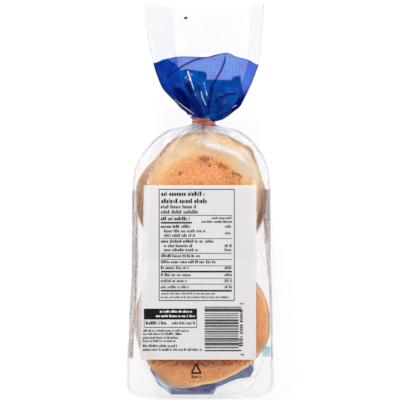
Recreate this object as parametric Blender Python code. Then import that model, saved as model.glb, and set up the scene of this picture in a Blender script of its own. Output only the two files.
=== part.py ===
"""A bag of English muffins, lying on its back.

Two stacks of three muffins lie end to end in a clear film bag. The film is drawn together past the
upper stack, held by a ribbon tie, and fans out above it into an open tail. The bag with what fills it is
one solid, and the tie is another. +Y runs from the sealed end to the open tail, +Z is up, and the origin
is on the surface that the bag lies on, under the middle of its box.
"""

import math

import bmesh
import bpy
from mathutils import Vector

MM = 0.001

# The muffins, which give the filled part of the bag its size
MUFFIN_DIAMETER = 92 * MM
MUFFIN_THICKNESS = 27.5 * MM
MUFFINS_IN_STACK = 3
MUFFIN_FACE_DIAMETER = 82 * MM
FILM_SLACK = 0.75 * MM

# The whole bag
BAG_LENGTH = 283 * MM
BAG_DEPTH = MUFFINS_IN_STACK * MUFFIN_THICKNESS + 2 * FILM_SLACK
MID_DEPTH = BAG_DEPTH / 2
OPEN_END = BAG_LENGTH / 2

# The two stacks: their middles along the bag, and how far to the right of the bag's middle they sit
STACK_X = 1.0 * MM
UPPER_STACK_Y = 4.0 * MM
LOWER_STACK_Y = UPPER_STACK_Y - MUFFIN_DIAMETER

# The neck, where the tie grips the gathered film. The bag leans over to it along its shoulders.
NECK_X = 1.4 * MM
NECK_Y = 56.6 * MM
NECK_HALF_WIDTH = 8.0 * MM
NECK_HALF_DEPTH = 5.8 * MM
SHOULDER_START = 20 * MM
SHOULDER_END = 50 * MM

# The tie: a flat ribbon round a wire, wound twice, its ends twisted together behind the neck
RIBBON_WIDTH = 4.0 * MM
RIBBON_THICKNESS = 1.0 * MM
TIE_GAP = 0.35 * MM
WRAP_SLANTS = (-9.0, 2.5)
WRAP_ROUNDNESS = 0.97
OUTER_WRAP_LIFT = 0.55 * RIBBON_THICKNESS
KNOT_LIFT = 0.6 * RIBBON_THICKNESS
TWIST_TURNS = 2.5
TWIST_LENGTH = 15 * MM
TWIST_THICKNESS = 1.7 * MM
STRIP_HALF_WIDTH = 0.47 * RIBBON_WIDTH
STEPS_PER_TURN = 16
TIE_END_LENGTH = 8 * MM
TIE_END_THICKNESS = 0.8 * MM
TIE_END_OVERLAP = 1.2 * MM
TIE_END_SPLAY = 24.0

# How finely the film is built, and the shallow pocket that opens the end of the tail
POINTS_ROUND = 80
BODY_RINGS = 36
TAIL_RINGS = 15
TAIL_FIRST_SPACING = 0.45  # spacing of the tail's rings at the neck, as a share of the mean spacing
TAIL_ROUNDNESS = 0.98
TAIL_WALL = 1.2 * MM
POCKET_DEPTH = 14 * MM
POCKET_RINGS = 4
SHARP_ANGLE = 40.0

# Filled part, from the sealed end to the neck, in mm: place, half width, half depth, corner radius
BODY_STATIONS = (
    (-141.5, 24.0, 3.5, 3.4),
    (-140.3, 38.0, 13.0, 9.0),
    (-138.0, 45.0, 25.0, 12.0),
    (-135.0, 48.6, 35.0, 11.0),
    (-131.0, 49.8, 40.6, 9.0),
    (-124.0, 50.0, 42.0, 8.5),
    (-88.0, 49.4, 42.0, 9.0),
    (-42.0, 47.8, 42.0, 11.0),
    (4.0, 47.6, 42.0, 13.0),
    (20.0, 46.6, 42.0, 13.0),
    (31.0, 42.8, 42.0, 13.0),
    (40.0, 36.6, 41.6, 13.0),
    (45.0, 31.8, 40.4, 13.0),
    (48.0, 27.6, 37.6, 13.0),
    (50.0, 22.6, 31.0, 12.0),
    (51.4, 15.5, 20.0, 10.0),
    (52.4, 9.6, 8.6, 7.0),
    (52.8, 8.0, 5.8, 5.6),
)
FULL_HALF_WIDTH = 50 * MM

# Tail above the neck, in mm: place, middle's shift to the right, half width, half depth
TAIL_STATIONS = (
    (60.4, 1.4, 8.0, 5.8),
    (61.4, 3.2, 13.2, 8.2),
    (64.0, 5.4, 19.0, 10.6),
    (69.0, 5.2, 23.4, 12.0),
    (75.0, 4.2, 28.0, 12.2),
    (81.0, 3.2, 31.6, 11.6),
    (90.0, 3.2, 35.2, 10.2),
    (98.0, 3.4, 37.8, 8.8),
    (113.0, 2.6, 40.5, 6.8),
    (128.0, 2.3, 42.0, 5.6),
    (141.5, 2.3, 42.6, 5.0),
)
MOUTH_HALF_WIDTH = 42.6 * MM

# Reliefs of the film
SIDE_BULGE = 2.4 * MM  # how far the bag's sides stand out past its front edges, at mid depth
DROP_BETWEEN_FACES = 0.12  # fall of the film beyond a muffin's face, for each metre from it
DROP_AT_CORNERS = 0.26  # and beyond the pair of them
UNDERSIDE_SHARE = 0.45  # the underside lies on a surface, so there the film lifts less
FOLD_SOFTNESS = 4.0 * MM  # how gently the film turns down from the fronts to the sides
JOINT_GROOVE = 1.3 * MM  # how far the sides dip where one muffin meets the next
GROOVE_FADE = 6  # how fast these dips fade where the bag narrows
PLEATS = ((7, 0.10, 1.0), (11, 0.62, 0.8), (17, 0.35, 0.5))  # number round the bag, phase, strength
PLEAT_STATIONS = (
    (-141.5, 0.35),
    (-120.0, 0.0),
    (22.0, 0.0),
    (40.0, 0.7),
    (48.0, 1.5),
    (50.5, 1.2),
    (52.6, 0.0),
    (60.6, 0.0),
    (64.0, 1.1),
    (70.0, 1.9),
    (84.0, 1.3),
    (100.0, 0.7),
    (141.5, 0.3),
)
WAVE_HEIGHT = 3.2 * MM  # up and down wave across the open end
WAVE_LENGTH = 56 * MM
WAVE_PHASE = 0.9
TAIL_DROOP = 5 * MM
MOUTH_DIP = 4.2 * MM  # how far the open end's edge curves in

FILM_COLOUR = (0.83, 0.74, 0.62)
FILM_ROUGHNESS = 0.25
RIBBON_COLOUR = (0.72, 0.14, 0.09)
RIBBON_ROUGHNESS = 0.35


def blend_along(place, stations):
    """Values at a place along the bag, on smooth curves through the stations that never overshoot them."""
    place = min(max(place, stations[0][0]), stations[-1][0])
    upper = next(i for i in range(1, len(stations)) if place <= stations[i][0])
    start, end = stations[upper - 1], stations[upper]
    before = stations[max(upper - 2, 0)]
    after = stations[min(upper + 1, len(stations) - 1)]
    span = end[0] - start[0]
    share = (place - start[0]) / span
    values = []
    for k in range(1, len(start)):
        rise = (end[k] - start[k]) / span
        leave = limited_slope(before, start, k, rise)
        arrive = limited_slope(end, after, k, rise)
        cubic = (
            start[k] * (1 + 2 * share) * (1 - share) ** 2
            + end[k] * share**2 * (3 - 2 * share)
            + leave * span * share * (1 - share) ** 2
            - arrive * span * share**2 * (1 - share)
        )
        values.append(cubic)
    return values


def limited_slope(first, second, k, rise):
    """The slope that two neighbouring stretches share, or 0 where they turn."""
    if second[0] == first[0]:
        return 0.0
    other = (second[k] - first[k]) / (second[0] - first[0])
    if other * rise <= 0:
        return 0.0
    return 2 * other * rise / (other + rise)


def rounded_box_point(share, half_width, half_depth, radius):
    """The point a share of the way round a rounded box, from the middle of its top towards +X."""
    flat_top = half_width - radius
    flat_side = half_depth - radius
    quarter = flat_top + flat_side + radius * math.pi / 2
    corner, along = divmod((share % 1.0) * 4, 1)
    if corner in (1, 3):
        along = 1 - along
    run = along * quarter
    if run < flat_top:
        x, z = run, half_depth
    elif run < quarter - flat_side:
        angle = (run - flat_top) / radius
        x = flat_top + radius * math.sin(angle)
        z = flat_side + radius * math.cos(angle)
    else:
        x, z = half_width, quarter - run
    return (x if corner in (0, 1) else -x), (z if corner in (0, 3) else -z)


def pleat_height(share, place):
    """How far the film stands out in pleats at a share of the way round a ring."""
    (strength,) = blend_along(place / MM, PLEAT_STATIONS)
    total = sum(
        weight * math.cos(2 * math.pi * (count * share + phase))
        for count, phase, weight in PLEATS
    )
    return strength * MM * total / len(PLEATS)


def drop_past_faces(x, y):
    """How far the film falls below a muffin's face at a point beside the faces, and 0 over them."""
    face_radius = MUFFIN_FACE_DIAMETER / 2
    to_upper = math.hypot(x - STACK_X, y - UPPER_STACK_Y)
    to_lower = math.hypot(x - STACK_X, y - LOWER_STACK_Y)
    nearest_y = min(max(y, LOWER_STACK_Y), UPPER_STACK_Y)
    to_both = math.hypot(x - STACK_X, y - nearest_y)
    past_one = max(0.0, min(to_upper, to_lower) - face_radius)
    past_both = max(0.0, to_both - face_radius)
    return DROP_BETWEEN_FACES * past_one + DROP_AT_CORNERS * past_both


def held_below(height, limit, softness):
    """The height, kept under the limit and turned smoothly onto it."""
    if softness <= 0:
        return min(height, limit)
    over = min(1.0, max(0.0, 0.5 + 0.5 * (height - limit) / softness))
    return height + (limit - height) * over - softness * over * (1 - over)


def joint_closeness(z):
    """1 where two muffins of a stack meet, and 0 midway through a muffin."""
    return 0.5 + 0.5 * math.cos(2 * math.pi * (z / MUFFIN_THICKNESS + 0.5))


def body_point(share, place):
    """A point of the filled part's film, a share of the way round the ring at a place along the bag."""
    half_width, half_depth, radius = (v * MM for v in blend_along(place / MM, BODY_STATIONS))
    x, z = rounded_box_point(share, half_width, half_depth, radius)
    stretch = 1 + pleat_height(share, place) / math.hypot(x, z)
    x, z = x * stretch, z * stretch
    fullness = half_width / FULL_HALF_WIDTH
    from_middle = min(abs(z) / half_depth, 1.0)
    bulge = SIDE_BULGE * (1 - from_middle**2) * fullness
    groove = JOINT_GROOVE * fullness**GROOVE_FADE * joint_closeness(z)
    x *= 1 + (bulge - groove) / half_width
    shoulder = (place - SHOULDER_START) / (SHOULDER_END - SHOULDER_START)
    x += NECK_X * min(max(shoulder, 0.0), 1.0)
    drop = drop_past_faces(x, place)
    softness = min(FOLD_SOFTNESS, drop)
    if z > 0:
        z = held_below(z, MID_DEPTH - drop, softness)
    else:
        z = -held_below(-z, MID_DEPTH - UNDERSIDE_SHARE * drop, UNDERSIDE_SHARE * softness)
    return Vector((x, place, z + MID_DEPTH))


def tail_point(share, place, inset=0.0):
    """A point of the tail, or of the pocket inside it where it is inset by the wall."""
    shift, half_width, half_depth = (v * MM for v in blend_along(place / MM, TAIL_STATIONS))
    half_width -= inset
    half_depth -= inset
    x, z = rounded_box_point(share, half_width, half_depth, half_depth * TAIL_ROUNDNESS)
    stretch = 1 + pleat_height(share, place) / max(math.hypot(x, z), half_depth)
    x, z = x * stretch, z * stretch
    out = (place - NECK_Y) / (OPEN_END - NECK_Y)
    z += WAVE_HEIGHT * out**1.5 * math.sin(2 * math.pi * x / WAVE_LENGTH + WAVE_PHASE)
    z -= TAIL_DROOP * out**2
    across = min(abs(x) / MOUTH_HALF_WIDTH, 1.0)
    dip = MOUTH_DIP * (1 - across**2) * out**3
    return Vector((x + shift, place - dip, z + MID_DEPTH))


def add_ring(mesh, point_at):
    return [mesh.verts.new(point_at(i / POINTS_ROUND)) for i in range(POINTS_ROUND)]


def bridge(mesh, first, second):
    count = len(first)
    for i in range(count):
        j = (i + 1) % count
        mesh.faces.new((first[i], first[j], second[j], second[i]))


def body_places():
    """Places of the body's rings: close together at both ends, where its section changes fast."""
    first, last = BODY_STATIONS[0][0] * MM, BODY_STATIONS[-1][0] * MM
    for i in range(BODY_RINGS):
        share = 0.5 - 0.5 * math.cos(math.pi * i / (BODY_RINGS - 1))
        yield first + (last - first) * share


def tail_places():
    """Places of the tail's rings, closest together just above the neck."""
    first, last = TAIL_STATIONS[0][0] * MM, TAIL_STATIONS[-1][0] * MM
    for i in range(TAIL_RINGS):
        share = i / (TAIL_RINGS - 1)
        share = TAIL_FIRST_SPACING * share + (1 - TAIL_FIRST_SPACING) * share**2
        yield first + (last - first) * share


def make_bag(material):
    """The filled bag, its neck and its tail as one closed skin, with a shallow pocket in the tail."""
    mesh = bmesh.new()
    rings = [add_ring(mesh, lambda t, y=y: body_point(t, y)) for y in body_places()]
    rings += [add_ring(mesh, lambda t, y=y: tail_point(t, y)) for y in tail_places()]
    for i in range(POCKET_RINGS):
        inner = OPEN_END - POCKET_DEPTH * i / (POCKET_RINGS - 1)
        rings.append(add_ring(mesh, lambda t, y=inner: tail_point(t, y, TAIL_WALL)))
    for first, second in zip(rings, rings[1:]):
        bridge(mesh, first, second)
    mesh.faces.new(rings[0])
    mesh.faces.new(rings[-1])
    return finish_object("bag", mesh, material)


def make_wrap(name, clearance, slant, material):
    """One turn of the ribbon round the neck, leaning so that one side of it is nearer the muffins."""
    mesh = bmesh.new()
    lean = math.tan(math.radians(slant))
    half = RIBBON_WIDTH / 2
    rings = []
    for inset, along in ((0.0, -half), (0.0, half), (RIBBON_THICKNESS, half), (RIBBON_THICKNESS, -half)):
        width = NECK_HALF_WIDTH + clearance + inset
        depth = NECK_HALF_DEPTH + clearance + inset
        ring = []
        for i in range(POINTS_ROUND):
            x, z = rounded_box_point(i / POINTS_ROUND, width, depth, depth * WRAP_ROUNDNESS)
            place = NECK_Y + along + lean * x
            ring.append(mesh.verts.new((x + NECK_X, place, z + MID_DEPTH)))
        rings.append(ring)
    for first, second in zip(rings, rings[1:] + rings[:1]):
        bridge(mesh, first, second)
    return finish_object(name, mesh, material)


def make_strip(name, start, direction, length, turns, thickness, material):
    """A straight ribbon that turns about its own middle line as it goes."""
    mesh = bmesh.new()
    steps = round(abs(turns) * STEPS_PER_TURN) + 2
    along_bag = Vector((0, 1, 0))
    side = along_bag.cross(direction).normalized()
    rings = []
    for i in range(steps + 1):
        share = i / steps
        angle = 2 * math.pi * turns * share
        across = math.cos(angle) * along_bag + math.sin(angle) * side
        out = direction.cross(across)
        middle = start + direction * length * share
        ring = []
        for wide, thick in ((-1, -1), (1, -1), (1, 1), (-1, 1)):
            offset = across * (wide * STRIP_HALF_WIDTH) + out * (thick * thickness / 2)
            ring.append(mesh.verts.new(middle + offset))
        rings.append(ring)
    for first, second in zip(rings, rings[1:]):
        bridge(mesh, first, second)
    mesh.faces.new(rings[0])
    mesh.faces.new(rings[-1])
    return finish_object(name, mesh, material)


def make_tie(material):
    """Two wraps, a twist that runs down behind the neck, and the two ends that splay from it."""
    first = make_wrap("twist_tie", TIE_GAP, WRAP_SLANTS[0], material)
    pieces = [make_wrap("outer_wrap", TIE_GAP + OUTER_WRAP_LIFT, WRAP_SLANTS[1], material)]
    down = Vector((0, 0, -1))
    knot = Vector((NECK_X, NECK_Y, MID_DEPTH - NECK_HALF_DEPTH - TIE_GAP - KNOT_LIFT))
    pieces.append(make_strip("twist", knot, down, TWIST_LENGTH, TWIST_TURNS, TWIST_THICKNESS, material))
    tip = knot + down * (TWIST_LENGTH - TIE_END_OVERLAP)
    for name, side in (("left_end", -1), ("right_end", 1)):
        lean = math.radians(TIE_END_SPLAY * side)
        direction = Vector((math.sin(lean), 0, -math.cos(lean)))
        pieces.append(make_strip(name, tip, direction, TIE_END_LENGTH, 0, TIE_END_THICKNESS, material))
    join(first, pieces)
    return first


def join(target, pieces):
    """Makes the pieces and the target one solid, and leaves only the target."""
    group = bpy.data.collections.new("tie_pieces")
    for piece in pieces:
        group.objects.link(piece)
    union = target.modifiers.new("union", "BOOLEAN")
    union.operation = "UNION"
    union.operand_type = "COLLECTION"
    union.collection = group
    union.solver = "EXACT"
    bpy.context.view_layer.update()
    graph = bpy.context.evaluated_depsgraph_get()
    joined = bpy.data.meshes.new_from_object(target.evaluated_get(graph))
    target.modifiers.remove(union)
    target.data = joined
    for piece in pieces:
        bpy.data.objects.remove(piece)
    bpy.data.collections.remove(group)


def finish_object(name, mesh, material):
    bmesh.ops.recalc_face_normals(mesh, faces=mesh.faces)
    data = bpy.data.meshes.new(name)
    mesh.to_mesh(data)
    mesh.free()
    data.shade_smooth()
    data.set_sharp_from_angle(angle=math.radians(SHARP_ANGLE))
    data.materials.append(material)
    made = bpy.data.objects.new(name, data)
    bpy.context.scene.collection.objects.link(made)
    return made


def make_material(name, colour, roughness):
    made = bpy.data.materials.new(name)
    made.use_nodes = True
    surface = made.node_tree.nodes["Principled BSDF"]
    surface.inputs["Base Color"].default_value = (*colour, 1.0)
    surface.inputs["Roughness"].default_value = roughness
    surface.inputs["Metallic"].default_value = 0.0
    return made


def main():
    for old in list(bpy.data.objects):
        bpy.data.objects.remove(old)
    make_bag(make_material("filled_film", FILM_COLOUR, FILM_ROUGHNESS))
    make_tie(make_material("tie_ribbon", RIBBON_COLOUR, RIBBON_ROUGHNESS))


main()
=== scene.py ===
import math
import random

import bmesh
import bpy
import numpy as np
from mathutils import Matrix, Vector, noise
from mathutils.bvhtree import BVHTree


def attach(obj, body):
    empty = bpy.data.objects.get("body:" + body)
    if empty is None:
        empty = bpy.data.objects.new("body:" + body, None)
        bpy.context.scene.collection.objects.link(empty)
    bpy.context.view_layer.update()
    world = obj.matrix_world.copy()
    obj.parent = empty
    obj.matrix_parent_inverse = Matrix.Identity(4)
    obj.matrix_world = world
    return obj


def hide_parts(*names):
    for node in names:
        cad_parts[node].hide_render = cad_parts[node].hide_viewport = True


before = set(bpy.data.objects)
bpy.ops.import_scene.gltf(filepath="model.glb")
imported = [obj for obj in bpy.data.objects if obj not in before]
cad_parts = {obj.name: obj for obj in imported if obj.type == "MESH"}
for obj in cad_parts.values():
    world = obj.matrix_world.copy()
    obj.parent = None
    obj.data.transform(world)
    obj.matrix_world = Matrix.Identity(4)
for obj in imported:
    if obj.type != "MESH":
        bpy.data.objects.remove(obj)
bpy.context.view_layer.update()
scene = bpy.context.scene
mm = 0.001
print("bag of muffins: packed frame loaded")

# Camera: straight down on the shown side, from far off
shot = {
    "photoSide": 400,
    "mmPerPixel": 0.713,
    "originPixel": (201.4, 200.5),   # where x = 0, y = 0 falls in the photo
    "sharpHeight": 62,               # mm above the table where the scale is exact
    "distance": 8000,                # mm above that
    "sensor": 36,
}


def atPixel(px, py):
    # photo pixel to mm on the bag
    return ((px - shot["originPixel"][0]) * shot["mmPerPixel"],
            (shot["originPixel"][1] - py) * shot["mmPerPixel"])


def makeCamera():
    data = bpy.data.cameras.new("packshot")
    cam = bpy.data.objects.new("packshot", data)
    scene.collection.objects.link(cam)
    middle = shot["photoSide"] / 2
    x, y = atPixel(middle, middle)
    cam.location = (x * mm, y * mm, (shot["sharpHeight"] + shot["distance"]) * mm)
    data.sensor_width = shot["sensor"]
    data.lens = shot["sensor"] * shot["distance"] / (shot["photoSide"] * shot["mmPerPixel"])
    data.clip_end = 50
    scene.camera = cam


# Light: a white tent, dark straight above where the camera looks in, a big soft box past the tail,
# a weaker one before the sealed end, a strip on each side, and a table top that glows a little
studio = {
    "tent": 0.75, "tentTop": 0.03, "topEdge": (0.52, 0.86),
    # each box: where it stands in metres, power in watts, size in metres
    "boxes": {"key": ((-0.25, 1.5, 1.15), 27.8, (0.7, 0.7)),
              "fill": ((0.5, -1.2, 1.3), 9.4, (1.4, 1.4)),
              "left_strip": ((-0.85, 0.15, 1.05), 2.2, (0.05, 0.7)),
              "right_strip": ((0.8, 0.05, 1.0), 2.2, (0.05, 0.7))},
    "aimHeight": 0.04,
    "tableColour": (0.2, 0.2, 0.2), "tableGlow": 0.815,
    "tableReach": 4, "tableDrop": 0.4,       # metres, mm
}


def softBox(name, at, power, size):
    data = bpy.data.lights.new(name, "AREA")
    data.energy = power
    data.shape = "RECTANGLE"
    data.size, data.size_y = size
    lamp = bpy.data.objects.new(name, data)
    scene.collection.objects.link(lamp)
    lamp.location = at
    lamp.rotation_mode = "QUATERNION"
    aim = Vector((0, 0, studio["aimHeight"])) - Vector(at)
    lamp.rotation_quaternion = aim.to_track_quat("-Z", "Y")
    lamp.visible_camera = False


def makeTent():
    room = bpy.data.worlds.new("white_tent")
    room.use_nodes = True
    tree = room.node_tree
    direction = tree.nodes.new("ShaderNodeTexCoord")
    parts = tree.nodes.new("ShaderNodeSeparateXYZ")
    tree.links.new(direction.outputs["Generated"], parts.inputs[0])
    shade = tree.nodes.new("ShaderNodeMapRange")
    shade.interpolation_type = "SMOOTHSTEP"
    tree.links.new(parts.outputs["Z"], shade.inputs[0])
    for key, value in enumerate((*studio["topEdge"], studio["tent"], studio["tentTop"])):
        shade.inputs[key + 1].default_value = value
    background = tree.nodes["Background"]
    background.inputs["Color"].default_value = (1, 1, 1, 1)
    tree.links.new(shade.outputs[0], background.inputs["Strength"])
    scene.world = room


def makeStudio():
    makeTent()
    for name, box in studio["boxes"].items():
        softBox(name, *box)
    mesh = bpy.data.meshes.new("table_top")
    reach, low = studio["tableReach"], -studio["tableDrop"] * mm
    corners = [(-reach, -reach, low), (reach, -reach, low), (reach, reach, low), (-reach, reach, low)]
    mesh.from_pydata(corners, [], [(0, 1, 2, 3)])
    paint = bpy.data.materials.new("table_white")
    paint.use_nodes = True
    shader = paint.node_tree.nodes["Principled BSDF"]
    shader.inputs["Base Color"].default_value = (*studio["tableColour"], 1)
    shader.inputs["Roughness"].default_value = 0.8
    shader.inputs["Specular IOR Level"].default_value = 0.1
    shader.inputs["Emission Color"].default_value = (1, 1, 1, 1)
    shader.inputs["Emission Strength"].default_value = studio["tableGlow"]
    mesh.materials.append(paint)
    table = bpy.data.objects.new("table_top", mesh)
    scene.collection.objects.link(table)
    scene.view_settings.view_transform = "Standard"
    scene.cycles.transparent_max_bounces = 32


makeCamera()
makeStudio()
print("camera and soft light in place")


# Shader helpers: one material and its nodes, whose values are sockets or plain numbers
class Mat:
    def __init__(self, name):
        self.made = bpy.data.materials.new(name)
        self.made.use_nodes = True
        self.tree = self.made.node_tree
        self.tree.nodes.clear()
        # the piece's own coordinates in mm
        own = self.node("TexCoord", {}, "Object")
        self.place = self.node("VectorMath", {0: own, 1: (1000, 1000, 1000)}, operation="MULTIPLY")

    def node(self, kind, inputs, output=0, **settings):
        made = self.tree.nodes.new("ShaderNode" + kind)
        for key, value in settings.items():
            setattr(made, key, value)
        for key, value in inputs.items():
            socket = made.inputs[key]
            if isinstance(value, bpy.types.NodeSocket):
                self.tree.links.new(value, socket)
            elif socket.type == "RGBA":
                socket.default_value = (*value, 1)
            else:
                socket.default_value = value
        return made.outputs[output]

    def maths(self, operation, *values, clamp=False):
        return self.node("Math", dict(enumerate(values)), operation=operation, use_clamp=clamp)

    def times(self, first, *others):
        for other in others:
            first = self.maths("MULTIPLY", first, other)
        return first

    def scaled(self, value, factor, added, clamp=False):
        return self.maths("MULTIPLY_ADD", value, factor, added, clamp=clamp)

    def most(self, first, second, clamp=False):
        return self.maths("MAXIMUM", first, second, clamp=clamp)

    def roughened(self, value, texture, amount):
        # pushes a value up and down by a texture
        return self.scaled(self.maths("SUBTRACT", texture, 0.5), amount, value)

    def fade(self, value, start, end):
        # smooth ramp from 0 at start to 1 at end
        return self.node("MapRange", {0: value, 1: start, 2: end}, interpolation_type="SMOOTHSTEP")

    def mix(self, share, first, second, mode="MIX"):
        return self.node("Mix", {0: share, 6: first, 7: second}, 2, data_type="RGBA", blend_type=mode)

    def coats(self, colour, *coats):
        # coats of colour, each laid over the ones before by its share
        for share, coat in coats:
            colour = self.mix(share, colour, coat)
        return colour

    def grain(self, scale, detail=3.0, roughness=0.55, distortion=0.0):
        return self.node("TexNoise", {"Vector": self.place, "Scale": scale, "Detail": detail,
                                      "Roughness": roughness, "Distortion": distortion})

    def wave(self, scale, direction):
        bands = {"Vector": self.place, "Scale": scale, "Distortion": 6.0, "Detail": 3.0}
        return self.node("TexWave", bands, "Fac", bands_direction=direction)

    def stored(self, name):
        # a value kept on the mesh
        return self.node("Attribute", {}, "Fac", attribute_name=name)

    def steepness(self, power):
        # 0 where the surface faces the view, 1 where it is seen along
        return self.maths("POWER", self.node("LayerWeight", {"Blend": 0.5}, "Facing"), power)

    def bumped(self, height, reach, strength=1.0):
        return self.node("Bump", {"Height": height, "Distance": reach * mm, "Strength": strength})

    def solid(self, colour, roughness, normal, specular=0.5):
        return self.node("BsdfPrincipled", {"Base Color": colour, "Roughness": roughness, "Normal": normal,
                                            "Specular IOR Level": specular})

    def clear(self, tint):
        return self.node("BsdfTransparent", {"Color": tint})

    def blend(self, share, first, second):
        return self.node("MixShader", {0: share, 1: first, 2: second})

    def finish(self, shader):
        end = self.tree.nodes.new("ShaderNodeOutputMaterial")
        self.tree.links.new(shader, end.inputs["Surface"])
        return self.made


# Mesh helpers
def gridFaces(rows, columns, closed, first=0):
    faces = []
    for i in range(rows - 1):
        for j in range(columns if closed else columns - 1):
            k = (j + 1) % columns
            a = first + i * columns
            b = a + columns
            faces.append((a + j, a + k, b + k, b + j))
    return faces


def addPiece(name, points, faces, materials, smooth=True, tones=None):
    # points in mm
    mesh = bpy.data.meshes.new(name)
    mesh.from_pydata([tuple(float(c) * mm for c in p) for p in points], [], faces)
    for material in materials:
        mesh.materials.append(material)
    if tones is not None:
        mesh.polygons.foreach_set("material_index", tones)
    if smooth:
        mesh.shade_smooth()
    mesh.update()
    piece = bpy.data.objects.new(name, mesh)
    scene.collection.objects.link(piece)
    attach(piece, "root")
    return piece


def alongStations(stations, places):
    # smooth values through the stations, with no overshoot
    table = np.array(stations, float)
    at, values = table[:, 0], table[:, 1:]
    rises = np.diff(values, axis=0) / np.diff(at)[:, None]
    slopes = np.zeros_like(values)
    before, after = rises[:-1], rises[1:]
    both = before * after
    total = np.where(before + after == 0, 1, before + after)
    slopes[1:-1] = np.where(both > 0, 2 * both / total, 0)
    places = np.clip(places, at[0], at[-1])
    i = np.clip(np.searchsorted(at, places, side="right") - 1, 0, len(at) - 2)
    span = (at[i + 1] - at[i])[..., None]
    s = ((places - at[i])[..., None]) / span
    return (values[i] * (1 + 2 * s) * (1 - s) ** 2 + values[i + 1] * s**2 * (3 - 2 * s)
            + slopes[i] * span * s * (1 - s) ** 2 - slopes[i + 1] * span * s**2 * (1 - s))


def smoothStep(value, start, end):
    s = np.clip((value - start) / (end - start), 0, 1)
    return s * s * (3 - 2 * s)


def noiseAt(points, scale, seed=0.0):
    # gradient noise, -1 to 1, at each row of an array of points
    shift = Vector((seed * 17.3, seed * 5.1, seed * 9.7))
    flat = np.asarray(points, float).reshape(-1, 3) * np.array(scale)
    values = np.fromiter((noise.noise(Vector(p) + shift) for p in flat), float, len(flat))
    return values.reshape(np.asarray(points).shape[:-1])


# The film bag
bag = {
    "depth": 84,
    "faceRadius": 41,
    "stackX": 1.0, "upperY": 4.0, "lowerY": -88.0,
    "neckX": 1.4, "neckY": 56.6, "neckWidth": 8.0, "neckDepth": 5.8,
    "sideBulge": 2.4,
    "dropBetween": 0.045, "dropAtCorners": 0.26, "undersideShare": 0.45, "foldSoftness": 4.0,
    "jointGroove": 1.3,
    "frontShare": 0.136,             # half the front panel, as a share of the way round
    "frontColumns": 176, "sideColumns": 60, "backColumns": 68,
    "bodyRows": 205, "neckRows": 8, "printRows": 112, "mouthRows": 24,
    "endLean": -0.9,                 # the sealed end sits a little to the left
    "pleats": ((9, 0.10, 1.0), (15, 0.62, 0.8), (23, 0.35, 0.55)),
    "wrinkleOnFaces": 0.08, "wrinkleOff": 0.75,
    "gatherStart": 58.4,             # where the blue begins, just above the tie
}

# from the sealed end: place, half width, half depth, corner radius
bodyStations = (
    (-141.5, 26.0, 3.5, 3.4), (-140.3, 41.0, 13.0, 8.0), (-138.0, 46.4, 25.0, 9.0),
    (-135.0, 49.4, 35.0, 8.0), (-131.0, 50.6, 40.6, 7.5), (-124.0, 50.4, 42.0, 8.0),
    (-88.0, 49.4, 42.0, 9.0), (-42.0, 47.8, 42.0, 11.0), (4.0, 47.6, 42.0, 13.0),
    (20.0, 46.6, 42.0, 13.0), (31.0, 42.8, 42.0, 13.0), (40.0, 36.6, 41.6, 13.0),
    (45.0, 31.8, 40.8, 13.0), (48.0, 27.6, 38.8, 13.0), (50.0, 25.0, 34.4, 12.0),
    (51.4, 20.0, 22.0, 10.0), (52.4, 14.6, 10.6, 8.5), (52.8, 12.4, 8.2, 7.8),
)

# tail: place, shift to the right, half width, half depth
tailStations = (
    (52.8, 1.4, 12.4, 8.2), (54.6, 1.4, 8.5, 6.2), (56.0, 1.4, 8.0, 5.8), (60.4, 1.4, 8.0, 5.8),
    (61.4, 3.2, 13.2, 8.2), (64.0, 5.4, 19.0, 10.6),
    (69.0, 5.2, 23.4, 12.0), (75.0, 4.2, 28.0, 12.2), (81.0, 3.2, 31.6, 11.6),
    (90.0, 3.2, 35.2, 10.2), (98.0, 3.4, 37.8, 8.8), (113.0, 2.6, 40.5, 6.8),
    (128.0, 2.3, 42.0, 5.6), (141.5, 2.3, 42.6, 5.0),
)

pleatStations = (
    (-141.5, 0.5), (-120.0, 0.0), (14.0, 0.0), (36.0, 0.9), (47.0, 2.2), (50.5, 1.6), (53.0, 0.7),
    (60.6, 0.7), (64.0, 1.6), (70.0, 2.8), (84.0, 2.0), (100.0, 1.1), (141.5, 0.5),
)

# edge of the blue print and of the open mouth: share across the front, place along the bag
printEdge = (
    (-1.0, 98.3), (-0.77, 101.0), (-0.43, 103.0), (0.0, 102.5), (0.16, 104.0), (0.38, 105.7),
    (0.55, 103.0), (0.78, 100.7), (1.0, 97.1),
)
mouthEdge = (
    (-1.0, 140.6), (-0.66, 138.8), (-0.31, 137.0), (-0.11, 137.6), (0.09, 138.5), (0.44, 137.6),
    (0.72, 139.4), (1.0, 141.4),
)

sealedEnd, neckStart, mouthEnd = bodyStations[0][0], bodyStations[-1][0], tailStations[-1][0]

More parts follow.
